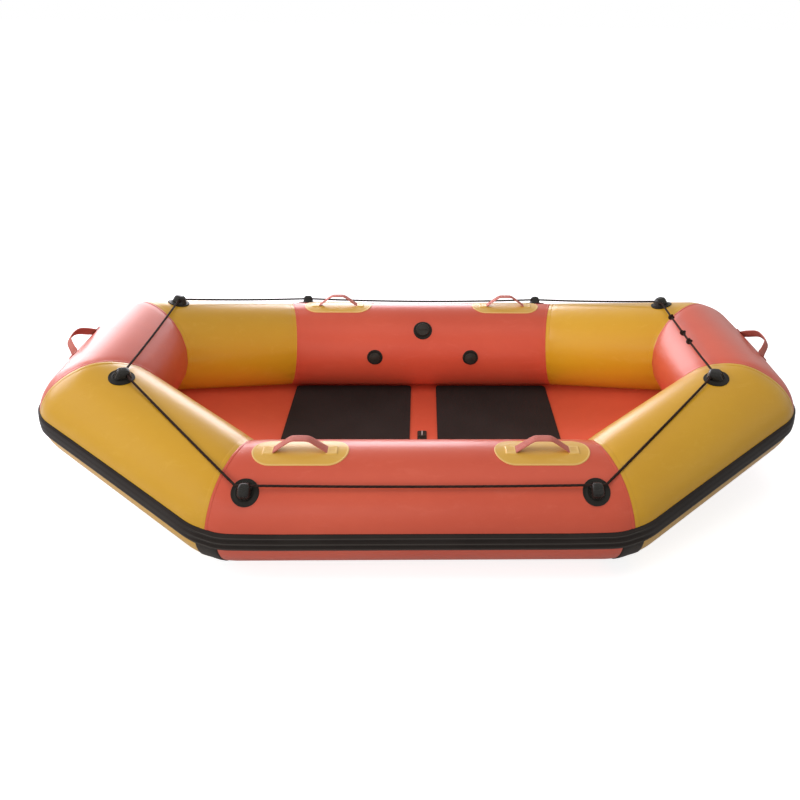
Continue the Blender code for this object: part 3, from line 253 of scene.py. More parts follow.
def seat(run, t, angle):
    """Local frame on the skin: X along the tube, Y round it, Z out of it."""
    x, z = ALONG[run], radial(run, angle)
    return frame_of(x, np.cross(z, x), z, skin(run, t, angle))


def placed(grid, place):
    """Points moved by a frame."""
    frame_array = np.array(place)
    return grid @ frame_array[:3, :3].T + frame_array[:3, 3]


def over(place, x, y, lift):
    """Points at distances x along and y round the tube from a place, at a lift over the skin."""
    run, t, angle = place
    return skin(run, t + x, angle + y / TUBE_RADIUS, lift)


def quads(rows, columns, wrap_rows=False, wrap_columns=False):
    """Faces of a grid of points, wound so that rows times columns points outward."""
    i = np.arange(rows if wrap_rows else rows - 1)[:, None]
    j = np.arange(columns if wrap_columns else columns - 1)[None, :]
    here, there, next_j = i * columns, (i + 1) % rows * columns, (j + 1) % columns
    return np.stack([here + j, there + j, there + next_j, here + next_j], -1).reshape(-1, 4)


def in_scene(name, data):
    """A new object with its data, in the scene."""
    made = bpy.data.objects.new(name, data)
    bpy.context.collection.objects.link(made)
    return made


def mesh_of(name, shape):
    """A mesh with the points and faces of a shape."""
    points, faces = shape
    points = np.asarray(points, float).reshape(-1, 3).tolist()
    mesh = bpy.data.meshes.new(name)
    mesh.from_pydata(points, [], [list(map(int, face)) for face in faces])
    return mesh


def creased(mesh, degrees):
    """Smooth shading with sharp edges where faces meet at more than an angle."""
    mesh.shade_smooth()
    mesh.set_sharp_from_angle(angle=math.radians(degrees))


def piece(name, shape, finish, body="hull", stands_for=None, marks=None, wall=None, crease=40):
    """A piece of the model; marks are values kept on its points, and an open surface has a wall inside it."""
    mesh = mesh_of(name, shape)
    for label, values in (marks or {}).items():
        values = np.asarray(values, np.float32).reshape(-1)
        wide = len(values) == 3 * len(mesh.vertices)
        store = mesh.attributes.new(label, "FLOAT_VECTOR" if wide else "FLOAT", "POINT")
        store.data.foreach_set("vector" if wide else "value", values)
    if not wall:
        body_mesh = bmesh.new()
        body_mesh.from_mesh(mesh)
        bmesh.ops.recalc_face_normals(body_mesh, faces=body_mesh.faces)
        body_mesh.to_mesh(mesh)
        body_mesh.free()
    creased(mesh, crease)
    material, slot = finish
    mesh.materials.append(material)
    made = in_scene(name, mesh)
    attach(made, body)
    if stands_for:
        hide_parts(stands_for)
    if wall:
        thick = made.modifiers.new("wall", "SOLIDIFY")
        thick.thickness, thick.offset, thick.use_even_offset = wall, -1, True
    return made


def pad(run, t, angle, lift):
    """A closed pad on the skin, between a grid at a lift and the same grid just over the skin."""
    top, under = skin(run, t, angle, lift), skin(run, t, angle, UNDERSIDE_LIFT)
    rows, columns = top.shape[:2]
    n = rows * columns
    faces = [quads(rows, columns), quads(rows, columns)[:, ::-1] + n]
    i, j, last = np.arange(rows - 1) * columns, np.arange(columns - 1), n - columns
    for first, second in ((i, i + columns), (i + 2 * columns - 1, i + columns - 1), (j + 1, j),
                          (last + j, last + j + 1)):
        faces.append(np.stack([first, first + n, second + n, second], -1))
    return np.concatenate((top.reshape(-1, 3), under.reshape(-1, 3))), np.concatenate(faces)


def loft(grid, wrap_rows=False):
    """Points and faces of closed rings of points, capped at both ends unless the rows wrap too."""
    rows, columns = grid.shape[:2]
    faces = quads(rows, columns, wrap_rows, True).tolist()
    if not wrap_rows:
        faces += [list(range(columns)), list(range((rows - 1) * columns, rows * columns))]
    return grid.reshape(-1, 3), faces


def circle(sides):
    """Angles round a full turn, as one row."""
    return np.linspace(0, math.tau, sides, endpoint=False)[None, :]


def superellipse(sides, power):
    """Cosine and sine round a full turn, raised to a power with their signs kept."""
    return [np.sign(v) * np.abs(v) ** power for v in (np.cos(circle(sides)), np.sin(circle(sides)))]


def turned(profile, sides, place, shape=None):
    """A profile turned about a frame's Z axis; its radius may be changed by shape(angle, radius, height)."""
    angle = circle(sides)
    r, h = np.asarray(profile, float).T[:, :, None]
    r = shape(angle, r, h) if shape else r + 0 * angle
    return placed(np.stack((r * np.cos(angle), r * np.sin(angle), h + 0 * angle), -1), place)


def swept(line, across, upward, around, radius):
    """A round section carried along a line of points, on its two directions across the line."""
    return (line[:, None, :] + (radius * np.cos(around))[..., None] * across[:, None, :]
            + (radius * np.sin(around))[..., None] * upward[:, None, :])


def rounded(profile, corner, steps=4):
    """A profile whose inner corners are cut to quadratic curves that start a distance before each corner."""
    profile = np.asarray(profile, float)
    made = [profile[:1]]
    w = np.linspace(0, 1, steps + 1)[:, None]
    for before, here, after in zip(profile, profile[1:], profile[2:]):
        to_before, to_after = before - here, after - here
        back = min(corner, 0.45 * np.linalg.norm(to_before))
        on = min(corner, 0.45 * np.linalg.norm(to_after))
        a, b = here + unit(to_before) * back, here + unit(to_after) * on
        made.append((1 - w) ** 2 * a + 2 * w * (1 - w) * here + w ** 2 * b)
    made.append(profile[-1:])
    return np.concatenate(made)


def distances(line):
    """Distances along a line of points."""
    return np.concatenate(([0], np.cumsum(np.linalg.norm(np.diff(line, axis=0), axis=1))))


def resampled(points, spacing, closed=False):
    """Points at even spacing along a line of points."""
    points = np.concatenate((points, points[:1])) if closed else points
    distance = distances(points)
    count = max(int(round(distance[-1] / spacing)), 2)
    at = np.linspace(0, distance[-1], count + 1)
    made = np.stack([np.interp(at, distance, points[:, k]) for k in range(3)], -1)
    return made[:-1] if closed else made


# Finishes


def feed(tree, target, links):
    """Sets a node's inputs from sockets, plain values or colours of three numbers, and gives its outputs."""
    for label, source in links.items():
        if isinstance(source, bpy.types.NodeSocket):
            tree.links.new(source, target.inputs[label])
        elif target.inputs[label].type == "RGBA":
            target.inputs[label].default_value = (*source, 1.0)
        else:
            target.inputs[label].default_value = source
    return target.outputs


def node(tree, kind, links=None, **settings):
    """The outputs of a new node with its settings and inputs."""
    made = tree.nodes.new(f"ShaderNode{kind}")
    for key, value in settings.items():
        setattr(made, key, value)
    return feed(tree, made, links or {})


def calc(tree, operation, *values):
    """The result of a Math node."""
    return node(tree, "Math", dict(enumerate(values)), operation=operation)[0]


def mixed(tree, share, first, second):
    """The first colour, or the second where the share is 1."""
    return node(tree, "Mix", {0: share, 6: first, 7: second}, data_type="RGBA")[2]


def ranged(tree, value, from_min, from_max, to_min, to_max):
    """A value moved from one range to another and held within it."""
    return node(tree, "MapRange", {"Value": value, "From Min": from_min, "From Max": from_max,
                                   "To Min": to_min, "To Max": to_max})["Result"]


def effect(name, outputs, **inputs):
    """A new node group that takes a place and more inputs: its tree, what comes in, and its output node."""
    tree = bpy.data.node_groups.new(name, "ShaderNodeTree")
    tree.interface.new_socket("Place", in_out="INPUT", socket_type="NodeSocketVector")
    for label, value in inputs.items():
        kind = "NodeSocketColor" if isinstance(value, tuple) else "NodeSocketFloat"
        tree.interface.new_socket(label, in_out="INPUT", socket_type=kind).default_value = value
    for label in outputs:
        kind = "NodeSocketColor" if label == "Colour" else "NodeSocketFloat"
        tree.interface.new_socket(label, in_out="OUTPUT", socket_type=kind)
    return tree, tree.nodes.new("NodeGroupInput").outputs, tree.nodes.new("NodeGroupOutput")


def slow_drift():
    """Colour that drifts towards a second one over slow noise."""
    tree, given, out = effect("slow drift", ("Colour",), Colour=(0.5, 0.5, 0.5, 1.0),
                              Shade=(0.4, 0.4, 0.4, 1.0), Scale=4.0, Amount=0.3)
    noise = node(tree, "TexNoise", {"Vector": given["Place"], "Scale": given["Scale"], "Detail": 3.0,
                                    "Roughness": 0.55})
    share = ranged(tree, noise["Fac"], 0.34, 0.68, 0.0, given["Amount"])
    feed(tree, out, {"Colour": mixed(tree, share, given["Colour"], given["Shade"])})
    return tree


def fine_grain():
    """Height of a moulded grain: cell distance plus fine noise; flecks are the noise alone."""
    tree, given, out = effect("fine grain", ("Height", "Fleck"), Scale=500.0)
    cells = node(tree, "TexVoronoi", {"Vector": given["Place"], "Scale": given["Scale"]})
    finer = calc(tree, "MULTIPLY", given["Scale"], 2.3)
    noise = node(tree, "TexNoise", {"Vector": given["Place"], "Scale": finer, "Detail": 2.0})["Fac"]
    feed(tree, out, {"Height": calc(tree, "ADD", cells["Distance"], noise), "Fleck": noise})
    return tree


def rub_marks():
    """Mask of thin rubbed streaks: noise stretched and bent by a slower noise, kept where it is high."""
    tree, given, out = effect("rub marks", ("Mask",), Scale=9.0, Amount=0.5)
    stretched = node(tree, "Mapping", {"Vector": given["Place"], "Scale": (1.0, 2.6, 3.4)})
    noise = node(tree, "TexNoise", {"Vector": stretched["Vector"], "Scale": given["Scale"], "Detail": 6.0,
                                    "Roughness": 0.68, "Distortion": 0.6})
    feed(tree, out, {"Mask": ranged(tree, noise["Fac"], 0.56, 0.74, 0.0, given["Amount"])})
    return tree


def thread_weave():
    """Height of woven threads: product of a sine along and a sine across, with a rib for each warp thread."""
    tree, given, out = effect("thread weave", ("Height", "Thread"), Along=2600.0, Across=2600.0)
    split = node(tree, "SeparateXYZ", {"Vector": given["Place"]})
    along, across = (calc(tree, "SINE", calc(tree, "MULTIPLY", split[axis], given[pitch]))
                     for axis, pitch in (("X", "Along"), ("Y", "Across")))
    cross = calc(tree, "MULTIPLY", along, across)
    feed(tree, out, {"Height": calc(tree, "MULTIPLY_ADD", cross, 0.5, across), "Thread": cross})
    return tree


DRIFT, GRAIN, RUBS, WEAVE = slow_drift(), fine_grain(), rub_marks(), thread_weave()
LEVELS = {"roughness": "Roughness", "specular": "Specular IOR Level", "metallic": "Metallic",
          "coat": "Coat Weight", "coat_roughness": "Coat Roughness", "sheen": "Sheen Weight"}


class Finish:
    """A Principled material under construction, with the object's own coordinates at hand."""

    def __init__(self, name, **levels):
        self.material = bpy.data.materials.new(name)
        self.material.use_nodes = True
        self.tree = self.material.node_tree
        self.place = node(self.tree, "TexCoord")["Object"]
        self.shade({LEVELS[label]: value for label, value in levels.items()})

    def shade(self, links):
        feed(self.tree, self.tree.nodes["Principled BSDF"], links)

    def group(self, tree, **values):
        return node(self.tree, "Group", {"Place": self.place, **values}, node_tree=tree)

    def mark(self, label, output="Fac"):
        return node(self.tree, "Attribute", attribute_name=label)[output]

    def drift(self, colour, shade, scale, amount):
        return self.group(DRIFT, Colour=colour, Shade=shade, Scale=scale, Amount=amount)["Colour"]

    def grain(self, scale, depth, height="Height"):
        return self.group(GRAIN, Scale=scale)[height], depth

    def rubbed(self, tone, pale, scale, amount, smoothest, roughest):
        """The tone with paler rub marks, which are also rougher."""
        rubs = self.group(RUBS, Scale=scale, Amount=amount)["Mask"]
        self.shade({"Roughness": ranged(self.tree, rubs, 0.0, amount, smoothest, roughest)})
        return mixed(self.tree, rubs, tone, pale)

    def done(self, slot, tone, *heights):
        """The finish, with bumps one over another, each a (height, depth in metres) pair."""
        under = {}
        for height, depth in heights:
            bump = node(self.tree, "Bump", {"Height": height, "Distance": depth, "Strength": 1.0, **under})
            under = {"Normal": bump["Normal"]}
        self.shade({"Base Color": tone, **under})
        return self.material, slot


RED = (0.60, 0.092, 0.045)
RED_DEEP = (0.52, 0.068, 0.034)
RED_PALE = (0.69, 0.155, 0.095)
YELLOW = (0.605, 0.322, 0.013)
YELLOW_DEEP = (0.55, 0.273, 0.009)
YELLOW_PALE = (0.71, 0.42, 0.065)
# Pale patch tint, used for its rub marks and also for the painted highlights on its rim and tabs
PATCH_PALE_AND_HIGHLIGHT = (0.82, 0.56, 0.22)
BLACK = (0.017, 0.0125, 0.0105)
BLACK_PALE = (0.036, 0.030, 0.026)
# Colour of the painted highlight along the strake's rib crests
CREST_HIGHLIGHT = (0.074, 0.066, 0.058)


def coated_fabric(hue, tones, coat, kind="coated"):
    """Inflatable fabric with a satin coating: drifting colour, faint rub marks, a fine embossed grain; a
    patch is paler all over and has painted highlights along its rim and over the strap's tabs.
    """
    colour, shade, pale = tones
    made = Finish(f"{hue}_{kind}_fabric", specular=0.16, coat=coat, coat_roughness=0.30)
    tone = made.drift(made.drift(colour, shade, 2.6, 0.55), shade, 34.0, 0.16)
    tone = made.rubbed(tone, pale, 11.0, 0.22, 0.40, 0.55)
    # A patch is paler all over, and has painted highlights along its raised rim and over its raised tabs
    if kind == "patch":
        rim_highlight = ranged(made.tree, made.mark("rim"), 0.0030, 0.0060, 0.45, 0.0)
        for share in (0.22, rim_highlight, made.mark("tab")):
            tone = mixed(made.tree, share, tone, pale)
    return made.done(f"{hue}_pvc", tone, made.grain(75.0, 0.00016, "Fleck"), made.grain(620.0, 0.00007))


def black_rubber(name, scale, crest_highlight=False):
    """Moulded rubber: nearly black, with a matt grain; where asked, a painted highlight along its rib crests.
    """
    made = Finish(name, specular=0.12)
    tone = made.rubbed(made.drift(BLACK, BLACK_PALE, 7.0, 0.3), BLACK_PALE, 24.0, 0.4, 0.44, 0.62)
    # Painted highlight: the rib crests lightened towards a pale colour
    if crest_highlight:
        crest_shine = ranged(made.tree, made.mark("crest_highlight"), 0.0, 1.0, 0.0, 0.75)
        tone = mixed(made.tree, crest_shine, tone, CREST_HIGHLIGHT)
    return made.done("black_rubber", tone, made.grain(scale, 0.00009))


def foam_mat():
    """Closed-cell foam with a small diamond emboss over a soft grain."""
    made = Finish("mat_foam", specular=0.12, sheen=0.02)
    tone = made.drift((0.019, 0.0135, 0.0118), (0.027, 0.020, 0.018), 5.0, 0.8)
    tone = made.rubbed(tone, (0.038, 0.029, 0.026), 16.0, 0.35, 0.78, 0.9)
    diagonal = node(made.tree, "Mapping", {"Vector": made.place, "Rotation": (0, 0, math.radians(45))})
    emboss = made.group(WEAVE, Place=diagonal["Vector"], Along=780.0, Across=780.0)["Thread"]
    return made.done("mat_black", tone, (emboss, 0.00035), made.grain(900.0, 0.00012))


def webbing():
    """Woven polyester strap: warp ribs along it and weft across, with threads a little lighter and darker."""
    made = Finish("strap_webbing", roughness=0.66, specular=0.25, sheen=0.1)
    weave = made.group(WEAVE, Place=made.mark("cut", "Vector"), Along=3900.0, Across=3200.0)
    tone = made.drift((0.55, 0.145, 0.105), (0.45, 0.100, 0.075), 22.0, 0.8)
    lit = ranged(made.tree, weave["Thread"], -1.0, 1.0, 0.0, 0.32)
    tone = mixed(made.tree, lit, tone, (0.66, 0.25, 0.20))
    return made.done("webbing_red", tone, (weave["Height"], 0.00022))


def rope_cover():
    """Braided polyester cord: nearly black, with a painted highlight along its strands' crests."""
    made = Finish("cord_cover", roughness=0.75, specular=0.08)
    tone = made.drift((0.015, 0.0080, 0.0066), (0.034, 0.019, 0.015), 60.0, 0.8)
    # Painted highlight along the strand crests
    lit = ranged(made.tree, made.mark("strand"), 0.3, 1.0, 0.0, 0.35)
    tone = mixed(made.tree, lit, tone, (0.050, 0.031, 0.026))
    return made.done("rope_black", tone, made.grain(1500.0, 0.0001))


def moulded_plastic(name, colour, pale, roughness, specular=0.2, slot="valve_black"):
    """Injection-moulded plastic: satin, with a fine spark-eroded grain and handling marks."""
    made = Finish(name, specular=specular)
    tone = made.drift(colour, pale, 30.0, 0.5)
    tone = made.rubbed(tone, pale, 60.0, 0.35, roughness, roughness + 0.15)
    return made.done(slot, tone, made.grain(1300.0, 0.00004))


def spring_wire():
    """Drawn steel wire with faint draw marks."""
    made = Finish("spring_wire", roughness=0.28, metallic=1.0)
    tone = made.drift((0.56, 0.56, 0.58), (0.4, 0.4, 0.42), 200.0, 0.5)
    return made.done("spring_steel", tone, made.grain(4000.0, 0.00001, "Fleck"))


red_fabric = coated_fabric("red", (RED, RED_DEEP, RED_PALE), 0.48)
yellow_fabric = coated_fabric("yellow", (YELLOW, YELLOW_DEEP, YELLOW_PALE), 0.65)
patch_fabric = coated_fabric("yellow", (YELLOW, YELLOW_DEEP, PATCH_PALE_AND_HIGHLIGHT), 0.5, kind="patch")
strake_rubber = black_rubber("strake_rubber", 420.0, crest_highlight=True)
patch_rubber = black_rubber("wear_patch_rubber", 260.0)
seal_rubber = black_rubber("seal_rubber", 900.0)
foam, strap_web, cord_cover, spring_steel = foam_mat(), webbing(), rope_cover(), spring_wire()
stitch_thread = moulded_plastic("stitch_thread", (0.34, 0.06, 0.05), (0.45, 0.12, 0.10), 0.6,
                                slot="webbing_red")
holder_plastic = moulded_plastic("holder_plastic", (0.014, 0.0125, 0.0105), (0.026, 0.024, 0.020),
                                 0.27, 0.24)
flange_plastic = moulded_plastic("flange_plastic", (0.0165, 0.0150, 0.0122), (0.026, 0.0235, 0.0200),
                                 0.46, 0.12)
valve_plastic = moulded_plastic("valve_plastic", (0.020, 0.0170, 0.0135), (0.040, 0.036, 0.029), 0.36)
# Pale grey: a painted highlight, standing for the glint on the drain plug's grip
grip_highlight_plastic = moulded_plastic("grip_highlight_plastic", (0.42, 0.38, 0.37), (0.52, 0.48, 0.47), 0.45)


# Hull tubes


def spread(count, gather):
    """Shares from 0 to 1 that gather towards both ends."""
    x = np.linspace(0, 1, count)
    return x - gather * np.sin(math.tau * x) / math.tau


def tube_panel(run, stations, sides, finish, holes=()):
    """A tube between its two mitres: rows along it, columns round it, with no faces near a hole's centre."""
    name = RUNS[run]
    angle = circle(sides) - math.pi / 2
    low, high = mitre(run, angle, False), mitre(run, angle, True)
    points = skin(run, low + (high - low) * spread(stations, 0.75)[:, None], angle).reshape(-1, 3)
    faces = quads(stations, sides, False, True)
    for centre, radius in holes:
        middle = points[faces].mean(axis=1)
        faces = faces[np.linalg.norm(middle - centre, axis=1) > radius]
    piece(f"{name}_skin", (points, faces), finish, stands_for=name, wall=TUBE_WALL)


FRONT, BACK = RUNS.index("side_tube_front"), RUNS.index("side_tube_back")
valve_places = {f"{end}_valve": (BACK, along_x(BACK, CHAMBER_X + side * VALVE_REACH), VALVE_ANGLE)
                for end, side in (("left", -1), ("right", 1))}
join_place = (BACK, along_x(BACK, CHAMBER_X), JOIN_ANGLE)
back_holes = [(skin(*place), VALVE_HOLE) for place in valve_places.values()]
back_holes.append((skin(*join_place), JOIN_HOLE))
for run, name in enumerate(RUNS):
    finish = yellow_fabric if name.startswith("quarter") else red_fabric
    if run == BACK:
        tube_panel(run, 200, 144, finish, back_holes)
    else:
        tube_panel(run, 130 if run == FRONT else 96, 120, finish)


def seam_band(name, run, far, first, last, height, finish):
    """A taped edge round a mitre: a flat band with rounded shoulders from one distance to another."""
    angle = circle(176).T
    soft, shoulder = 0.000225, 0.0009
    offset = np.array((first, first + soft, first + shoulder, (first + last) / 2, last - shoulder,
                       last - soft, last, last - shoulder, first + shoulder))[None, :]
    lift = np.array((0.05, 0.75, 1.0, 1.04, 1.0, 0.75, 0.05, -0.2, -0.2))[None, :] * height
    start = mitre(run, angle, far)
    t = start - offset if far else start + offset
    piece(name, loft(skin(run, t, angle, lift), wrap_rows=True), finish)


for run, name in enumerate(RUNS):
    if name.startswith("quarter"):
        continue
    for far in (False, True):
        label = f"{name.replace('_tube', '')}_{'far' if far else 'near'}"
        seam_band(f"seam_welt_{label}", run, far, 0.0016, 0.0094, 0.0009, red_fabric)
        seam_band(f"seam_tape_{label}", run, far, -0.0125, 0.0012, 0.0007, yellow_fabric)


# Strake and wear patches


def twist(before, after):
    """Angle in the next run of the point that lies outward on the mitre of this one."""
    point = START[before] + ALONG[before] * mitre(before, 0.0, True) + radial(before, 0.0) * TUBE_RADIUS
    offset = point - START[after]
    return math.atan2(offset @ UPWARD[after], offset @ OUTWARD[after])


SIDE_TWIST, END_TWIST = twist(0, 1), twist(1, 2)


def quarter_strake_angle(down):
    """Angle of the strake's centre line on a quarter tube, at a share of the way down to the side tube."""
    swing = STRAKE_ANGLES["corner"] - STRAKE_ANGLES["bow"]
    return STRAKE_ANGLES["bow"] + swing * np.sin(math.pi / 2 * down)


def strake_angle(run, share):
    """Angle of the strake's centre line at shares of a run's length."""
    near = np.minimum(share, 1 - share)
    if RUNS[run].startswith("side"):
        corner = STRAKE_ANGLES["corner"] - SIDE_TWIST
        left = np.clip(1 - near * LENGTH[run] / STRAKE_BLEND, 0, None)
        return STRAKE_ANGLES["side"] + (corner - STRAKE_ANGLES["side"]) * left ** 2
    if RUNS[run].startswith("end"):
        corner = STRAKE_ANGLES["bow"] + END_TWIST
        return corner + (STRAKE_ANGLES["end"] - corner) * np.sin(math.pi * near)
    return quarter_strake_angle(share if ALONG[run][2] < 0 else 1 - share)


def strake_section():
    """Distances across, heights of the base and of three round-topped ribs, and painted highlight lines along
    their crests.
    """
    across = np.linspace(-STRAKE_HALF, STRAKE_HALF, 97)
    edge = STRAKE_HALF - np.abs(across)
    base = STRAKE_EDGE * np.sqrt(np.clip(edge / 0.0015, 0, 1))
    base = base + (STRAKE_BASE - STRAKE_EDGE) * smooth(edge / 0.008)
    ribs, highlight_lines = (sum(smooth((half - np.abs(across - k * STRAKE_SPACING)) / soft) for k in (-1, 0, 1))
                  for half, soft in (RIB_ROUND, CREST_ROUND))
    under = np.linspace(STRAKE_HALF, -STRAKE_HALF, 7)
    flat = 0 * under
    return [np.concatenate(pair) for pair in ((across, under), (base, flat + UNDERSIDE_LIFT), (ribs, flat),
                                              (highlight_lines, flat))]


def strake_half(name, path):
    """Half the strake, from the middle of one end tube along a side to the middle of the other.

    Its ribs keep their full height on the side tube and fade within a short way of it, and so does the
    painted highlight along their crests.
    """
    across, base, ribs, highlight_lines = strake_section()
    turn = across[None, :] / TUBE_RADIUS
    rows, crests = [], []
    for position, run in enumerate(path):
        share = spread(121 if position == 2 else 65, 0.8)
        if position == 0:
            share = share[32:]
            share[0] += STRAKE_BUTT / LENGTH[run]
        elif position == len(path) - 1:
            share = share[:33]
            share[-1] -= STRAKE_BUTT / LENGTH[run]
        share = share[1:] if position else share
        first = mitre(run, strake_angle(run, np.zeros(1)) + turn, False)
        last = mitre(run, strake_angle(run, np.ones(1)) + turn, True)
        from_side = (share if position == 3 else 1 - share) * LENGTH[run]
        kept = 1.0 if position == 2 else (1 - smooth(from_side / RIB_FADE)) * (position in (1, 3))
        strength = (RIB_LEFT + (1 - RIB_LEFT) * kept + 0 * share)[:, None]
        t = first + (last - first) * share[:, None]
        angle = strake_angle(run, share)[:, None] + turn
        rows.append(skin(run, t, angle, base[None, :] + STRAKE_RIB * ribs[None, :] * strength))
        # Painted highlight lines on the crests, faded with the ribs
        crests.append(highlight_lines[None, :] * strength)
    piece(f"{name}_rubber", loft(np.concatenate(rows)), strake_rubber, stands_for=name,
          marks={"crest_highlight": np.concatenate(crests)}, crease=55)


strake_half("strake_front", (6, 7, 0, 1, 2))
strake_half("strake_back", (2, 3, 4, 5, 6))


def wear_patch(corner, side, far):
    """A patch bent over a side corner's seam: rows go round under the tube, columns cross the seam."""
    c = np.linspace(0, 1, 22)[None, :]
    k = np.linspace(0, 1, 72)[:, None]
    on_quarter, top_side, bottom_side, bottom = 0.028, 0.038, 0.05, math.radians(-106)
    across = (1 - c) * -on_quarter + c * (top_side + (bottom_side - top_side) * k)
    on_side = strake_angle(side, np.clip(np.maximum(across, 0) / LENGTH[side], 0, 1))
    on_next = quarter_strake_angle(1 - np.maximum(-across, 0) / LENGTH[1]) - SIDE_TWIST
    top = np.where(across < 0, on_next, on_side) - STRAKE_HALF / TUBE_RADIUS + 0.012
    angle = top + (bottom - top) * k
    start = mitre(side, angle, far)
    t = start - across if far else start + across
    from_foot = (1 - k) * (top - bottom) * TUBE_RADIUS
    from_edge = np.minimum(np.minimum(c, 1 - c) * (on_quarter + top_side), from_foot)
    lift = WEAR_EDGE + (WEAR_THICKNESS - WEAR_EDGE) * np.sqrt(np.clip(from_edge / 0.0018, 0, 1))
    name = f"wear_patch_{corner}"
    piece(f"{name}_rubber", pad(side, t, angle, lift), patch_rubber, stands_for=name)


for corner, side, far in (("front_left", FRONT, False), ("front_right", FRONT, True),
                          ("back_right", BACK, False), ("back_left", BACK, True)):
    wear_patch(corner, side, far)


# Handles


def bunched(count):
    """Places from -1 to 1 that gather towards both ends."""
    return np.sin(np.linspace(-1, 1, count) * math.pi / 2)


def handle_patch(name, place, arch_half):
    """A patch with a straight middle and half-circle ends, raised over the strap's tabs."""
    straight = PATCH_HALF_LENGTH - PATCH_HALF_WIDTH
    x = bunched(150)[:, None] * PATCH_HALF_LENGTH
    into_end = np.clip(np.abs(x) - straight, 0, PATCH_HALF_WIDTH)
    y = bunched(60)[None, :] * np.sqrt(np.clip(PATCH_HALF_WIDTH ** 2 - into_end ** 2, 1e-8, None))
    x = x + 0 * y
    from_edge = PATCH_HALF_WIDTH - np.hypot(np.clip(np.abs(x) - straight, 0, None), y)
    lift = 0.0003 + 0.0012 * np.sqrt(np.clip(from_edge / 0.0012, 0, 1))
    lift = lift + 0.0005 * (1 - smooth((from_edge - 0.0036) / 0.0012)) * smooth(from_edge / 0.0012)
    past_foot = np.abs(x) - arch_half
    over_tab = smooth((past_foot + 0.0012) / 0.0014) * smooth((STRAP_TAB + 0.003 - past_foot) / 0.0026)
    over_tab = over_tab * smooth((STRAP_HALF_WIDTH + 0.0035 - np.abs(y)) / 0.0026)
    inner_step = smooth((past_foot - 0.0045) / 0.0012) * smooth((STRAP_TAB - 0.0025 - past_foot) / 0.0012)
    inner_step = inner_step * smooth((STRAP_HALF_WIDTH - 0.0035 - np.abs(y)) / 0.0012)
    lift = lift + over_tab * 0.0034 - inner_step * 0.0005
    # Painted highlight over each tab: strong on its raised outline, weaker inside it
    tab = over_tab * (1 - inner_step) * 0.55 + inner_step * 0.25
    run, middle, angle = place
    # rim and tab give the places of the patch's painted highlights
    marks = {"rim": np.tile(from_edge, (2, 1)), "tab": np.tile(tab, (2, 1))}
    shape = pad(run, middle + x, angle + y / TUBE_RADIUS, lift)
    piece(f"{name}_fabric", shape, patch_fabric, stands_for=name, marks=marks)


def arch_line(half, height, shares, base):
    """Distances along and heights of a strap's centre line: both tabs and a curve over the arch's points."""
    line = [(half + STRAP_TAB, base), (half + STRAP_TAB / 2, base), (half, base)]
    line += [(half * along, base + height * rise) for along, rise in shares]
    line += [(-x, z) for x, z in reversed(line)]
    line = np.array([(x, z, 0.0) for x, z in line])
    for _ in range(2):
        near, far = line[:-1], line[1:]
        cut = np.stack((near * 0.75 + far * 0.25, near * 0.25 + far * 0.75), 1).reshape(-1, 3)
        line = np.concatenate((line[:1], cut, line[-1:]))
    return resampled(line, 0.0025)[:, :2]


def strap(name, place, arch, base, droop=0.0):
    """A flat strap that stands in an arch on the skin; its section is a flat rounded box across the tube.

    The arch may droop: each point sinks down the tube by the droop times its share of the height.
    """
    run, _, angle = place
    half, height, shares = arch
    w, e = STRAP_HALF_WIDTH, STRAP_THICKNESS / 2
    x, z = arch_line(half, height, shares, base + e).T
    lean = np.clip((z - base - 0.004) / height, 0, 1)[:, None]
    side = unit(-OUTWARD[run] * math.sin(angle) + UPWARD[run] * math.cos(angle))
    centre = over(place, x, 0 * x, z) - droop * lean * side
    forward = unit(np.gradient(centre, axis=0))
    side = unit(side + droop / height * smooth(lean * 4) * radial(run, angle))
    normal = unit(np.cross(forward, side))
    top = np.array(((w, e * 0.55), (w - 0.0008, e), (w * 0.5, e), (0, e), (-w * 0.5, e), (0.0008 - w, e),
                    (-w, e * 0.55)))
    outline = np.roll(np.concatenate((top, -top)), 1, axis=0)[None]
    across = outline[..., 0] * (1 - 0.05 * lean)
    on_tab = smooth((np.abs(x) - half + 0.002) / 0.004)[:, None]
    drop = -on_tab * across ** 2 / (2 * TUBE_RADIUS) * np.sign(normal @ radial(run, angle))[:, None]
    cup = 0.0012 * lean * (across / w) ** 2
    grid = (centre[:, None, :] + across[..., None] * side[:, None, :]
            + (outline[..., 1] + drop + cup)[..., None] * normal[:, None, :])
    cut = np.stack(np.broadcast_arrays(distances(centre)[:, None], across, 0.0 * across), -1)
    piece(f"{name}_strap", loft(grid), strap_web, stands_for=name, marks={"cut": cut}, crease=50)


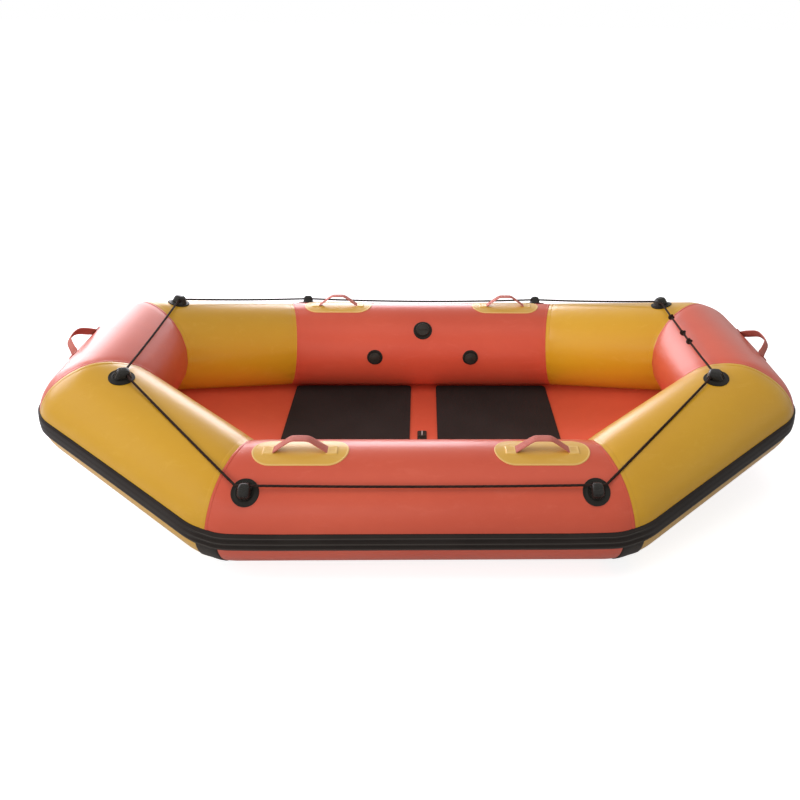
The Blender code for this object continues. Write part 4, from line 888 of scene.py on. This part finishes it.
def stitches(name, place, half, lift):
    """Rows of short stitches round each tab and across it: one small capsule repeated along the lines."""
    inset, pitch, thread = 0.0028, 0.0036, 0.00042
    w, low, high = STRAP_HALF_WIDTH - inset, half + inset, half + STRAP_TAB - inset
    box = ((low, -w), (high, -w), (high, w), (low, w), (low, -w))
    pairs = (*zip(box, box[1:]), (box[0], box[2]), (box[3], box[1]))
    places, turns = [], []
    for first, last in np.array([[(s * x, y) for x, y in pair] for s in (-1, 1) for pair in pairs]):
        count = max(int(np.linalg.norm(last - first) / pitch), 2)
        share = (np.arange(count) + 0.5)[:, None] / count
        places.append(first + (last - first) * share)
        turns += [math.atan2(last[1] - first[1], last[0] - first[0])] * count
    places, turns = np.concatenate(places)[:, :, None, None], np.array(turns)[:, None, None]
    size = np.array((0.25, 1.0, 1.0, 0.25))[:, None]
    local_x = np.array((-0.0013, -0.0008, 0.0008, 0.0013))[:, None] + 0 * circle(6)
    local_y, local_z = size * np.cos(circle(6)) * thread, size * np.sin(circle(6)) * thread
    x = places[:, 0] + local_x * np.cos(turns) - local_y * np.sin(turns)
    y = places[:, 1] + local_x * np.sin(turns) + local_y * np.cos(turns)
    grid = over(place, x, y, lift + local_z)
    faces = loft(grid[0])[1]
    every = [[i * 24 + k for k in face] for i in range(len(grid)) for face in faces]
    piece(name, (grid, every), stitch_thread)


for side, run in (("front", FRONT), ("back", BACK)):
    for end, x in (("left", -PATCH_X), ("right", PATCH_X)):
        place = (run, along_x(run, x), PATCH_ANGLE)
        handle_patch(f"handle_patch_{side}_{end}", place, SIDE_ARCH[0])
        strap(f"handle_{side}_{end}", place, SIDE_ARCH, 0.0018)
for end in ("left", "right"):
    run = RUNS.index(f"end_tube_{end}")
    place = (run, LENGTH[run] / 2, END_ARCH_ANGLE)
    strap(f"handle_end_{end}", place, END_ARCH, 0.0003, END_ARCH_DROOP)
    stitches(f"handle_end_{end}_stitches", place, END_ARCH[0], STRAP_THICKNESS + 0.0004)


# Rope holders and grab line

HOLDERS = [name for name, _ in ROPE_ROUTE]
holder_places = {f"{side}_{end}": (run, along_x(run, x), HOLDER_ANGLES[side])
                 for side, run in (("front", FRONT), ("back", BACK))
                 for end, x in (("left", -HOLDER_X), ("right", HOLDER_X))}
for run, name in enumerate(RUNS):
    if name.startswith("quarter"):
        t = LENGTH[run] - HOLDER_SETBACK if ALONG[run][2] > 0 else HOLDER_SETBACK
        holder_places[name.replace("quarter_tube", "quarter")] = (run, t, math.pi / 2)
holder_seats = {name: seat(*place) for name, place in holder_places.items()}
turned_seats = {}
for i, name in enumerate(HOLDERS):
    here = holder_seats[name]
    turn = math.pi / 2
    if name.startswith("quarter"):
        neighbours = [holder_seats[HOLDERS[k % 8]].translation for k in (i - 1, i + 1)]
        pulls = [(there - here.translation).normalized() for there in neighbours]
        local = here.to_3x3().transposed() @ (pulls[0] + pulls[1])
        turn = math.atan2(local.y, local.x)
    turned_seats[name] = here @ Matrix.Rotation(turn, 4, "Z")


def cut_through(made, shape):
    """Cuts a closed shape out of a piece and applies the cut."""
    tool = in_scene("eye_tool", mesh_of("eye_tool", shape))
    cut = made.modifiers.new("eye", "BOOLEAN")
    cut.operation, cut.solver, cut.object = "DIFFERENCE", "EXACT", tool
    bpy.context.view_layer.update()
    result = bpy.data.meshes.new_from_object(made.evaluated_get(bpy.context.evaluated_depsgraph_get()))
    made.modifiers.clear()
    made.data = result
    bpy.data.objects.remove(tool)
    creased(made.data, 50)


def flange_on_skin(place, radius, height):
    """Rings of a flange that follows the skin, from its radii and their heights."""
    radius, height = radius[:, None], height[:, None]
    return over(place, radius * np.cos(circle(72)), radius * np.sin(circle(72)), height)


# A holder's flange from its middle out, heights in millimetres: a flat, a raised ring, a dip and a rim bead
FLANGE_RADII = np.array((0.0005, 0.012, 0.0225, 0.0236, 0.0246, 0.0256, 0.0266, 0.028, 0.031, 0.0335,
                         0.0345, 0.0356, 0.0365, 0.0369, 0.0370, 0.0366, 0.030, 0.015, 0.0005))
FLANGE_HEIGHTS = np.array((3.0, 3.0, 3.0, 3.6, 3.9, 3.6, 2.9, 2.5, 2.4, 2.5,
                           3.0, 3.1, 2.7, 1.6, 0.6, 0.15, 0.1, 0.1, 0.1)) * 0.001


def bridge_sizes(level):
    """A bridge's reach to front and back and its half width at a height, all shrinking to a round crown."""
    rise = np.clip(level / 0.0282, 0, 1)
    crown = np.sqrt(np.clip(1 - np.clip((rise - 0.72) / 0.30, 0, 1) ** 2, 0.02, 1))
    front = (0.0285 - 0.0085 * rise ** 0.8) * (0.50 + 0.50 * crown)
    back = (0.0235 - 0.0110 * rise ** 0.8) * (0.50 + 0.50 * crown)
    half = (0.0190 - 0.0052 * rise ** 2) * (0.55 + 0.45 * crown)
    return front, back, half


def holder_block():
    """A rounded bridge: superellipse rings whose half sizes shrink from foot to crown."""
    level = np.array((-0.0035, 0.001, 0.006, 0.012, 0.0175, 0.0220, 0.0248, 0.0266, 0.0277, 0.0282, 0.0284,
                      0.0285))[:, None]
    drawn_in = np.array((1.0,) * 10 + (0.6, 0.1))[:, None]
    front, back, half = bridge_sizes(level)
    cos, sin = superellipse(64, 2 / 3.4)
    reach = np.where(cos > 0, front, back)
    return np.stack((cos * reach * drawn_in, sin * half * drawn_in, level + 0 * cos), -1)


def holder_rib(y):
    """A half-round rib down the bridge's back: rings along its outline, drawn to nothing at both ends."""
    share = np.linspace(0, 1, 25)
    level = 0.0045 + 0.0228 * share
    line = np.stack((-bridge_sizes(level)[1], level), -1)
    forward = unit(np.gradient(line, axis=0))
    size = np.sqrt(np.clip(1 - (2 * share - 1) ** 6, 0.01, 1))[:, None]
    out = 0.0015 * size * np.cos(circle(14))
    return np.stack((line[:, :1] - forward[:, 1:] * out, y + 0.0012 * size * np.sin(circle(14)),
                     line[:, 1:] + forward[:, :1] * out), -1)


def small_bar(half_x, half_y, low, high, place):
    """A bar with a superellipse outline and a rounded top."""
    share = np.array((0.0, 0.6, 0.85, 1.0, 1.0))[:, None]
    shrink = np.array((1.0, 1.0, 0.95, 0.80, 0.30))[:, None]
    cos, sin = superellipse(32, 0.5)
    drawn_in, level = (1 - shrink) * min(half_x, half_y), low + (high - low) * share + 0 * cos
    return loft(placed(np.stack((cos * (half_x - drawn_in), sin * (half_y - drawn_in), level), -1), place))


half_eye = ((0.0088, -0.024), (0.0088, -0.0192), (0.0066, -0.0165), (0.0060, -0.012))
eye = half_eye + tuple((radius, -height) for radius, height in reversed(half_eye))
for name in HOLDERS:
    holder, place = f"rope_holder_{name}", turned_seats[name]
    flange = flange_on_skin(holder_places[name], FLANGE_RADII, FLANGE_HEIGHTS)
    piece(f"{holder}_flange", loft(flange), flange_plastic, stands_for=holder)
    block = piece(f"{holder}_bridge", loft(placed(holder_block(), place)), holder_plastic)
    eye_place = place @ Matrix.Translation((EYE_OFFSET, 0, EYE_HEIGHT)) @ Matrix.Rotation(math.pi / 2, 4, "X")
    cut_through(block, loft(turned(eye, 24, eye_place)))
    for k, y in enumerate((-0.0052, 0.0052)):
        piece(f"{holder}_rib_{k + 1}", loft(placed(holder_rib(y), place)), holder_plastic)


def rope_path():
    """The cord's closed line: through each eye, then over to the next with a parabola of sag, corners eased.

    Gives the knots' places and the direction of their span too.
    """
    mouths = []
    for i, name in enumerate(HOLDERS):
        ends = np.array([turned_seats[name] @ Vector((EYE_OFFSET, s * (EYE_HALF + 0.004), EYE_HEIGHT))
                         for s in (-1, 1)])
        before = np.array(holder_seats[HOLDERS[i - 1]].translation)
        mouths.append(ends[np.argsort(np.linalg.norm(ends - before, axis=1))])
    points = []
    for i, (name, sag) in enumerate(ROPE_ROUTE):
        (first, second), after = mouths[i], mouths[(i + 1) % 8][0]
        share = np.linspace(0, 1, 40, endpoint=False)[:, None]
        span = second + (after - second) * share
        span[:, 2:] -= SPAN_SAG * sag * 4 * share * (1 - share)
        points += [first[None, :], span]
        if i == KNOT_SPAN:
            knots = [span[int(k * 40)] for k in KNOT_SHARES]
            direction = unit(after - second)
    line = resampled(np.concatenate(points), 0.0035, closed=True)
    for _ in range(4):
        line = (np.roll(line, 1, axis=0) + 2 * line + np.roll(line, -1, axis=0)) / 4
    return line, knots, direction


def forward_of(line):
    """Directions along a closed line."""
    return unit(np.roll(line, -1, axis=0) - np.roll(line, 1, axis=0))


def grab_line(line):
    """A laid cord: its radius swells by the absolute cosine of its angle, for three strands that turn."""
    forward = forward_of(line)
    side = unit(np.cross(forward, UP))
    distance = distances(line)
    turns = round(distance[-1] / CORD_LAY)
    phase = (distance / distance[-1] * turns * math.tau)[:, None]
    strand = np.abs(np.cos(1.5 * circle(14) - phase / 2))
    radius = ROPE_RADIUS * CORD_FILL * (1 - CORD_DEPTH + CORD_DEPTH * strand)
    grid = swept(line, side, np.cross(side, forward), circle(14), radius)
    piece("grab_line_cord", loft(grid, wrap_rows=True), cord_cover, stands_for="grab_line",
          marks={"strand": strand}, crease=80)


def knot(name, centre, direction, spin):
    """A tight overhand knot: a tube on the curve that winds twice round a ring and three times through it."""
    s = np.linspace(0, math.tau, 120, endpoint=False)
    ring, cross, thick = 0.0054, 0.0027, 0.0031
    two, three = 2 * s + spin, 3 * s
    reach = ring + cross * np.cos(three)
    local = np.stack((reach * np.cos(two), reach * np.sin(two), cross * 1.5 * np.sin(three)), -1)
    out = unit(np.stack((np.cos(three) * np.cos(two), np.cos(three) * np.sin(two), np.sin(three)), -1))
    forward = forward_of(local)
    out = unit(out - forward * (out * forward).sum(-1, keepdims=True))
    strand = np.abs(np.cos(1.5 * circle(12) - 9 * s[:, None]))
    grid = swept(local, out, np.cross(forward, out), circle(12), thick * (0.86 + 0.14 * strand))
    x = unit(np.cross(direction, UP))
    world = grid @ np.stack((x, np.cross(direction, x), direction)) + centre
    piece(name, loft(world, wrap_rows=True), cord_cover, marks={"strand": strand}, crease=80)


cord_line, knots, knot_direction = rope_path()
grab_line(cord_line)
for k, centre in enumerate(knots):
    knot(f"grab_line_knot_{k + 1}", centre, knot_direction, 1.3 * k)


# Floor, mats and drain


def floor_profile(x):
    """Height of the floor: level in the middle, then a straight rise to the end tubes, its bend eased."""
    end_x = END_DISTANCE - (TUBE_RADIUS + FLOOR_GAP) * math.cos(FLOOR_CONTACT)
    end_z = HULL_HEIGHT + END_RISE - TUBE_RADIUS * math.sin(FLOOR_CONTACT)
    slope = (end_z - FLOOR_Z) / (end_x - FLOOR_BEND_X)
    past = np.abs(x) - FLOOR_BEND_X
    curve = (past + FLOOR_BEND) ** 2 / (4 * FLOOR_BEND)
    eased = np.where(past < -FLOOR_BEND, 0.0, np.where(past > FLOOR_BEND, past, curve))
    return FLOOR_Z + slope * eased, end_x


def free_half_width(x, z):
    """Half the width left between the tubes at a height: the nearer root of distance to an axis = radius."""
    widths = []
    for run in (4, 3):
        origin = np.stack((np.abs(x), 0 * x, z), -1) - START[run]
        origin = origin - ALONG[run] * (origin @ ALONG[run])[:, None]
        across = np.array((0, 1.0, 0)) - ALONG[run] * ALONG[run][1]
        a, b = across @ across, origin @ across
        c = (origin ** 2).sum(-1) - (TUBE_RADIUS - FLOOR_TUCK) ** 2
        root = b * b - a * c
        widths.append(np.where(root > 0, (-b - np.sqrt(np.clip(root, 0, None))) / a, 9.0))
    return np.minimum(*widths)


def floor_sheet():
    """The floor: x along, a share across; shallow ripples run in from the rising edges."""
    _, end_x = floor_profile(np.zeros(1))
    x = np.linspace(-end_x, end_x, 231)
    z, _ = floor_profile(x)
    half = free_half_width(x, z)
    v = bunched(101)[None, :]
    y = v * half[:, None]
    on_rise = smooth((np.abs(x) - FLOOR_BEND_X - 0.02) / 0.1)[:, None]
    to_end = smooth((end_x - np.abs(x)) / 0.03)[:, None]
    inset = (1 - np.abs(v)) * half[:, None]
    near_edge = np.exp(-inset / 0.05) * smooth(inset / 0.01)
    ripple = RIPPLE_HEIGHT * near_edge * np.sin(x[:, None] * RIPPLE_WAVES + 1.2 * np.sign(v))
    ripple = ripple * (0.25 + 0.75 * on_rise) * to_end
    sag = -FLOOR_SAG * (1 - v ** 2) * on_rise * to_end
    grid = np.stack((x[:, None] + 0 * y, y, z[:, None] + 0 * y + ripple + sag), -1)
    made = piece("floor_fabric", (grid, quads(231, 101)), red_fabric, stands_for="floor_sheet",
                 wall=FLOOR_THICKNESS)


floor_sheet()


def box_outline(half_x, half_y, corner, steps):
    """A round-cornered box as a line of points, with a quarter circle at each corner."""
    turn = np.linspace(0, math.pi / 2, steps) + np.arange(4)[:, None] * math.pi / 2
    to_x, to_y = np.array((1, -1, -1, 1))[:, None], np.array((1, 1, -1, -1))[:, None]
    return np.stack((to_x * (half_x - corner) + corner * np.cos(turn),
                     to_y * (half_y - corner) + corner * np.sin(turn)), -1).reshape(-1, 2)


def at_levels(rings, levels):
    """Flat rings of points, each lifted to its level."""
    return np.concatenate((rings, np.broadcast_to(np.reshape(levels, (-1, 1, 1)), (*rings.shape[:2], 1))), -1)


def mat(end):
    """A foam mat: rings of a rounded box outline drawn in to its middle, its top edge eased."""
    low_x, high_x = MAT_SPANS[end]
    half_x, half_y = (high_x - low_x) / 2, MAT_HALF_WIDTH
    outline = box_outline(half_x, half_y, 0.012, 7)
    outline = resampled(np.concatenate((outline, np.zeros((len(outline), 1))), -1), 0.012, closed=True)[:, :2]
    inset = np.array((0.030, 0.0006, 0.0, 0.0, 0.0006, 0.0018, 0.004, 0.012, 0.04))[:, None, None]
    level = np.array((0.0, 0.0, 0.0006, 0.0038, 0.0046, 0.0049, 0.005, 0.005, 0.005)) * MAT_THICKNESS / 0.005
    rings = outline[None, :, :] * (1 - inset / np.array((half_x, half_y)))
    rings = rings + np.array(((low_x + high_x) / 2, 0.0))
    shape = loft(at_levels(rings, FLOOR_Z + 0.0003 + level))
    made = piece(f"mat_{end}_foam", shape, foam, stands_for=f"mat_{end}", crease=60)


mat("left")
mat("right")

DRAIN_INSETS = (0.004, 0, 0, 0.0008, 0.0022, 0.0030, 0.0052)
DRAIN_LEVELS = (0.0004, 0.0004, 0.0022, 0.0031, 0.0035, 0.0030, 0.0029)
DRAIN_COLLAR = ((0.0098, -0.006), (0.0125, -0.006), (0.0125, 0.0015), (0.0155, 0.0015), (0.0155, 0.0072),
                (0.0098, 0.0072), (0.0098, -0.006))
DRAIN_PLUG = ((0.0004, -0.0034), (0.0092, -0.0034), (0.0092, 0.0076), (0.0145, 0.0076), (0.0145, 0.0106),
              (0.0100, 0.0106), (0.0090, 0.0098), (0.0004, 0.0098))
drain_frame = Matrix.Translation((*DRAIN_PLACE, FLOOR_Z))
rings = np.array([box_outline(0.0168 - inset, 0.032 - inset, max(DRAIN_CORNER - inset * 0.6, 0.0006), 8)
                  for inset in DRAIN_INSETS])
piece("drain_flange", loft(placed(at_levels(rings, DRAIN_LEVELS), drain_frame)), valve_plastic)
piece("drain_collar", loft(turned(rounded(DRAIN_COLLAR, 0.0006, 3)[:-1], 48, drain_frame), wrap_rows=True),
      valve_plastic, stands_for="drain_body")
piece("drain_plug_head", loft(turned(rounded(DRAIN_PLUG, 0.0007, 3), 48, drain_frame)), valve_plastic,
      body="drain_plug", stands_for="drain_plug")
# The grip's pale grey is a painted highlight
piece("drain_plug_grip", small_bar(0.0020, 0.0100, 0.0092, 0.0172, drain_frame), grip_highlight_plastic,
      body="drain_plug")


# Valves

VALVE_BARREL = ((0.0135, 0.0084), (0.0135, -0.0190), (0.0105, -0.0215), (0.0105, -0.0240), (0.0170, -0.0240),
                (0.0170, 0.0010), (0.0185, 0.0010), (0.0185, 0.0085), (0.0135, 0.0085))
VALVE_CAP = ((0.0004, 0.0088), (0.0188, 0.0088), (0.0188, 0.0031), (0.0214, 0.0031), (0.0214, 0.0102),
             (0.0189, 0.0113), (0.0155, 0.0123), (0.0145, 0.0117), (0.0085, 0.0139), (0.0004, 0.0147))
JOIN_BARREL = ((0.0165, 0.0069), (0.0165, -0.0330), (0.0004, -0.0330), (0.0004, -0.0360), (0.0215, -0.0360),
               (0.0215, 0.0010), (0.0250, 0.0010), (0.0250, 0.0070), (0.0165, 0.0070))
JOIN_KNOB = ((0.0004, -0.0150), (0.0161, -0.0150), (0.0161, 0.0073), (0.0255, 0.0073), (0.0255, 0.0102),
             (0.0238, 0.0128), (0.0195, 0.0138), (0.0185, 0.0130), (0.0130, 0.0150), (0.0004, 0.0166))


def valve_body(name, place, outer, inner, plate, barrel, corner, sides):
    """A flange that follows the skin, with a rounded edge and a bead, closed round its bore, and a barrel."""
    low = UNDERSIDE_LIFT
    profile = rounded(((inner, low), (outer - 0.001, low), (outer, plate * 0.5), (outer - 0.0016, plate),
                       (outer - 0.0046, plate + 0.0003), (outer - 0.0058, plate - 0.0004),
                       (inner, plate - 0.0004), (inner, low)), 0.0007, 3)[:-1]
    piece(f"{name}_flange", loft(flange_on_skin(place, *profile.T), wrap_rows=True), flange_plastic,
          stands_for=f"{name}_body")
    grid = turned(rounded(barrel, corner, 3)[:-1], sides, seat(*place))
    piece(f"{name}_barrel", loft(grid, wrap_rows=True), valve_plastic)


def notched(count, depth, radius, over_radius, height, over_height):
    """A change of radius for turned: a count of shallow scallops outside a radius and above a height."""
    def shape(angle, r, h):
        on_side = smooth((r - radius) / over_radius) * smooth((h - height) / over_height)
        return r - depth * on_side * (0.5 + 0.5 * np.cos(count * angle))
    return shape


def coil_spring(name, place, turns):
    """A coil of round wire: a helix whose height eases in and out of its end coils."""
    s = np.linspace(0, 1, turns * 28 + 1)[:, None]
    turn = math.tau * turns * s
    wire, radius = 0.00045, 0.0042
    height = SPRING_LOW + wire + (SPRING_HIGH - SPRING_LOW - 2 * wire) * (0.7 * s + 0.3 * smooth(s))
    r = radius + wire * np.cos(circle(12))
    grid = np.stack((r * np.cos(turn), r * np.sin(turn), height + wire * np.sin(circle(12))), -1)
    made = piece(f"{name}_coil", loft(placed(grid, place)), spring_steel, stands_for=name)
    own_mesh(made)


def turned_cover(name, profile, sides, place, notches):
    """A notched cap or knob, which is a body of its own."""
    shape = loft(turned(rounded(profile, 0.0009), sides, place, notched(*notches)))
    piece(f"{name}_cover", shape, valve_plastic, body=name, stands_for=name, crease=55)


for name, place in valve_places.items():
    coil_spring(f"{name}_spring", seat(*place), 4)
    valve_body(name, place, 0.030, 0.0176, 0.0028, VALVE_BARREL, 0.0005, 64)
    turned_cover(f"{name}_cap", VALVE_CAP, 120, seat(*place), (10, 0.0009, 0.0205, 0.0008, 0.0045, 0.0012))
join_frame = seat(*join_place)
valve_body("joining_valve", join_place, 0.036, 0.0222, 0.003, JOIN_BARREL, 0.0006, 72)
turned_cover("joining_valve_knob", JOIN_KNOB, 144, join_frame, (18, 0.0007, 0.0240, 0.0010, 0.0076, 0.0008))
piece("joining_valve_knob_grip", small_bar(0.0180, 0.0040, 0.0120, 0.0186, join_frame), valve_plastic,
      body="joining_valve_knob")


def baffle(side, run, valve=None):
    """A wall across a side tube: a rim bonded inside it and a dome of height bulge times 1 - share^2.

    The back one is left open round the joining valve.
    """
    outer, bulge, rim = TUBE_RADIUS - TUBE_WALL - 0.0022, 0.018, 0.016
    dome = np.linspace(0.004, 1.0, 40)
    share = np.concatenate((dome, np.ones(8)))
    height = np.concatenate((bulge * (1 - dome ** 2), -np.linspace(0.002, rim, 8)))
    centre = START[run] + ALONG[run] * along_x(run, CHAMBER_X)
    grid = (centre + radial(run, circle(120)) * (share * outer)[:, None, None]
            + np.cross(OUTWARD[run], UPWARD[run]) * height[:, None, None])
    points, faces = grid.reshape(-1, 3), quads(48, 120, False, True)
    if valve:
        axis = np.array(valve.to_3x3().col[2])
        middle = points[faces].mean(axis=1) - np.array(valve.translation)
        off_axis = np.linalg.norm(middle - axis * (middle @ axis)[:, None], axis=1)
        faces = faces[(off_axis > BAFFLE_HOLE) | (middle @ axis < -BAFFLE_HOLE_REACH)]
    name = f"baffle_{side}"
    piece(f"{name}_fabric", (points, faces), red_fabric, stands_for=name, wall=TUBE_WALL)


baffle("front", FRONT)
baffle("back", BACK, join_frame)

# Solids that stay as they are, inside the tubes
for name in ("joining_valve_nut", "left_valve_nut", "right_valve_nut", "left_valve_plunger",
             "right_valve_plunger", "joining_valve_seal"):
    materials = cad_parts[name].data.materials
    materials.clear()
    materials.append((seal_rubber if name.endswith("seal") else valve_plastic)[0])


# Stage, light and camera

STAGE_GLOSS = 0.16
WORLD_LIGHT = 0.27


def stage_floor():
    """A wide flat floor that shows white to the camera and keeps the shadow."""
    made = Finish("stage_floor", roughness=0.95, specular=0.0)
    tree = made.tree
    seen = node(tree, "LightPath")
    shown = calc(tree, "MULTIPLY_ADD", seen["Is Glossy Ray"], STAGE_GLOSS, seen["Is Camera Ray"])
    away = node(tree, "VectorMath", {0: made.place}, operation="LENGTH")["Value"]
    strength = calc(tree, "MULTIPLY", shown, ranged(tree, away, 1.2, 3.2, 0.80, 1.0))
    made.shade({"Emission Color": (1, 1, 1), "Emission Strength": strength})
    tone = made.drift((0.60, 0.60, 0.60), (0.57, 0.57, 0.57), 1.0, 0.5)
    mesh = mesh_of("stage_floor", ([(-30, -30, 0), (30, -30, 0), (30, 30, 0), (-30, 30, 0)], [(0, 1, 2, 3)]))
    mesh.materials.append(made.done("", tone)[0])
    in_scene("stage_floor", mesh)


stage_floor()

world = bpy.data.worlds.new("studio")
bpy.context.scene.world = world
world.use_nodes = True
tree = world.node_tree
rays = node(tree, "LightPath")
seen = calc(tree, "MAXIMUM", rays["Is Camera Ray"], rays["Is Glossy Ray"])
strength = ranged(tree, seen, 0.0, 1.0, WORLD_LIGHT, 1.0)
feed(tree, tree.nodes["Background"], {"Color": (1, 1, 1), "Strength": strength})


def softbox(name, place, target, width, height, power, colour=(1, 1, 1), shines=True):
    """An area lamp of a width and a height that faces a point."""
    lamp = bpy.data.lights.new(name, "AREA")
    lamp.shape, lamp.size, lamp.size_y, lamp.energy, lamp.color = "RECTANGLE", width, height, power, colour
    made = in_scene(name, lamp)
    made.visible_camera, made.visible_glossy = False, shines
    back = unit(np.array(place, float) - np.array(target, float))
    side = unit(np.cross(UP, back))
    made.matrix_world = frame_of(side, np.cross(back, side), back, place)


softbox("key", (-3.6, -2.0, 2.0), (0, 0, 0.2), 3.2, 2.4, 30, shines=False)
softbox("left", (-3.4, 0.8, 1.8), (0, 0, 0.3), 2.4, 1.8, 48, (0.93, 0.90, 1.0))
softbox("back", (-1.6, 3.4, 1.1), (0, 0, 0.3), 5.0, 2.0, 180, (0.96, 0.93, 1.0))
softbox("fill", (-1.7, -4.1, 1.0), (0, 0, 0.1), 4.0, 1.8, 62, shines=False)
softbox("top", (0.2, -1.0, 3.4), (0, 0.1, 0.1), 2.8, 1.8, 46, shines=False)
softbox("inner", (0.0, -0.15, 0.17), (0, 0.42, 0.08), 1.4, 0.10, 1.8, (1.0, 0.80, 0.80), shines=False)

# The focal length and the picture's centre are in pixels of a picture 800 across
CAMERA_PLACE = (-0.0059, -2.2384, HULL_HEIGHT + 1.3385)
YAW, PITCH, ROLL = -0.02920, 0.40300, -0.01605
FOCAL, CENTRE_X, CENTRE_Y, PICTURE = 749.36, 440.57, 304.93, 800
lens = bpy.data.cameras.new("camera")
lens.sensor_width = 36
lens.lens = 36 * FOCAL / PICTURE
lens.shift_x = -(CENTRE_X - PICTURE / 2) / PICTURE
lens.shift_y = (CENTRE_Y - PICTURE / 2) / PICTURE
camera = in_scene("camera", lens)
view = Matrix.Translation(CAMERA_PLACE)
for turn, axis in ((YAW, "Z"), (math.pi / 2 - PITCH, "X"), (-ROLL, "Z")):
    view = view @ Matrix.Rotation(turn, 4, axis)
camera.matrix_world = view
bpy.context.scene.camera = camera
bpy.context.scene.view_settings.view_transform = "Standard"
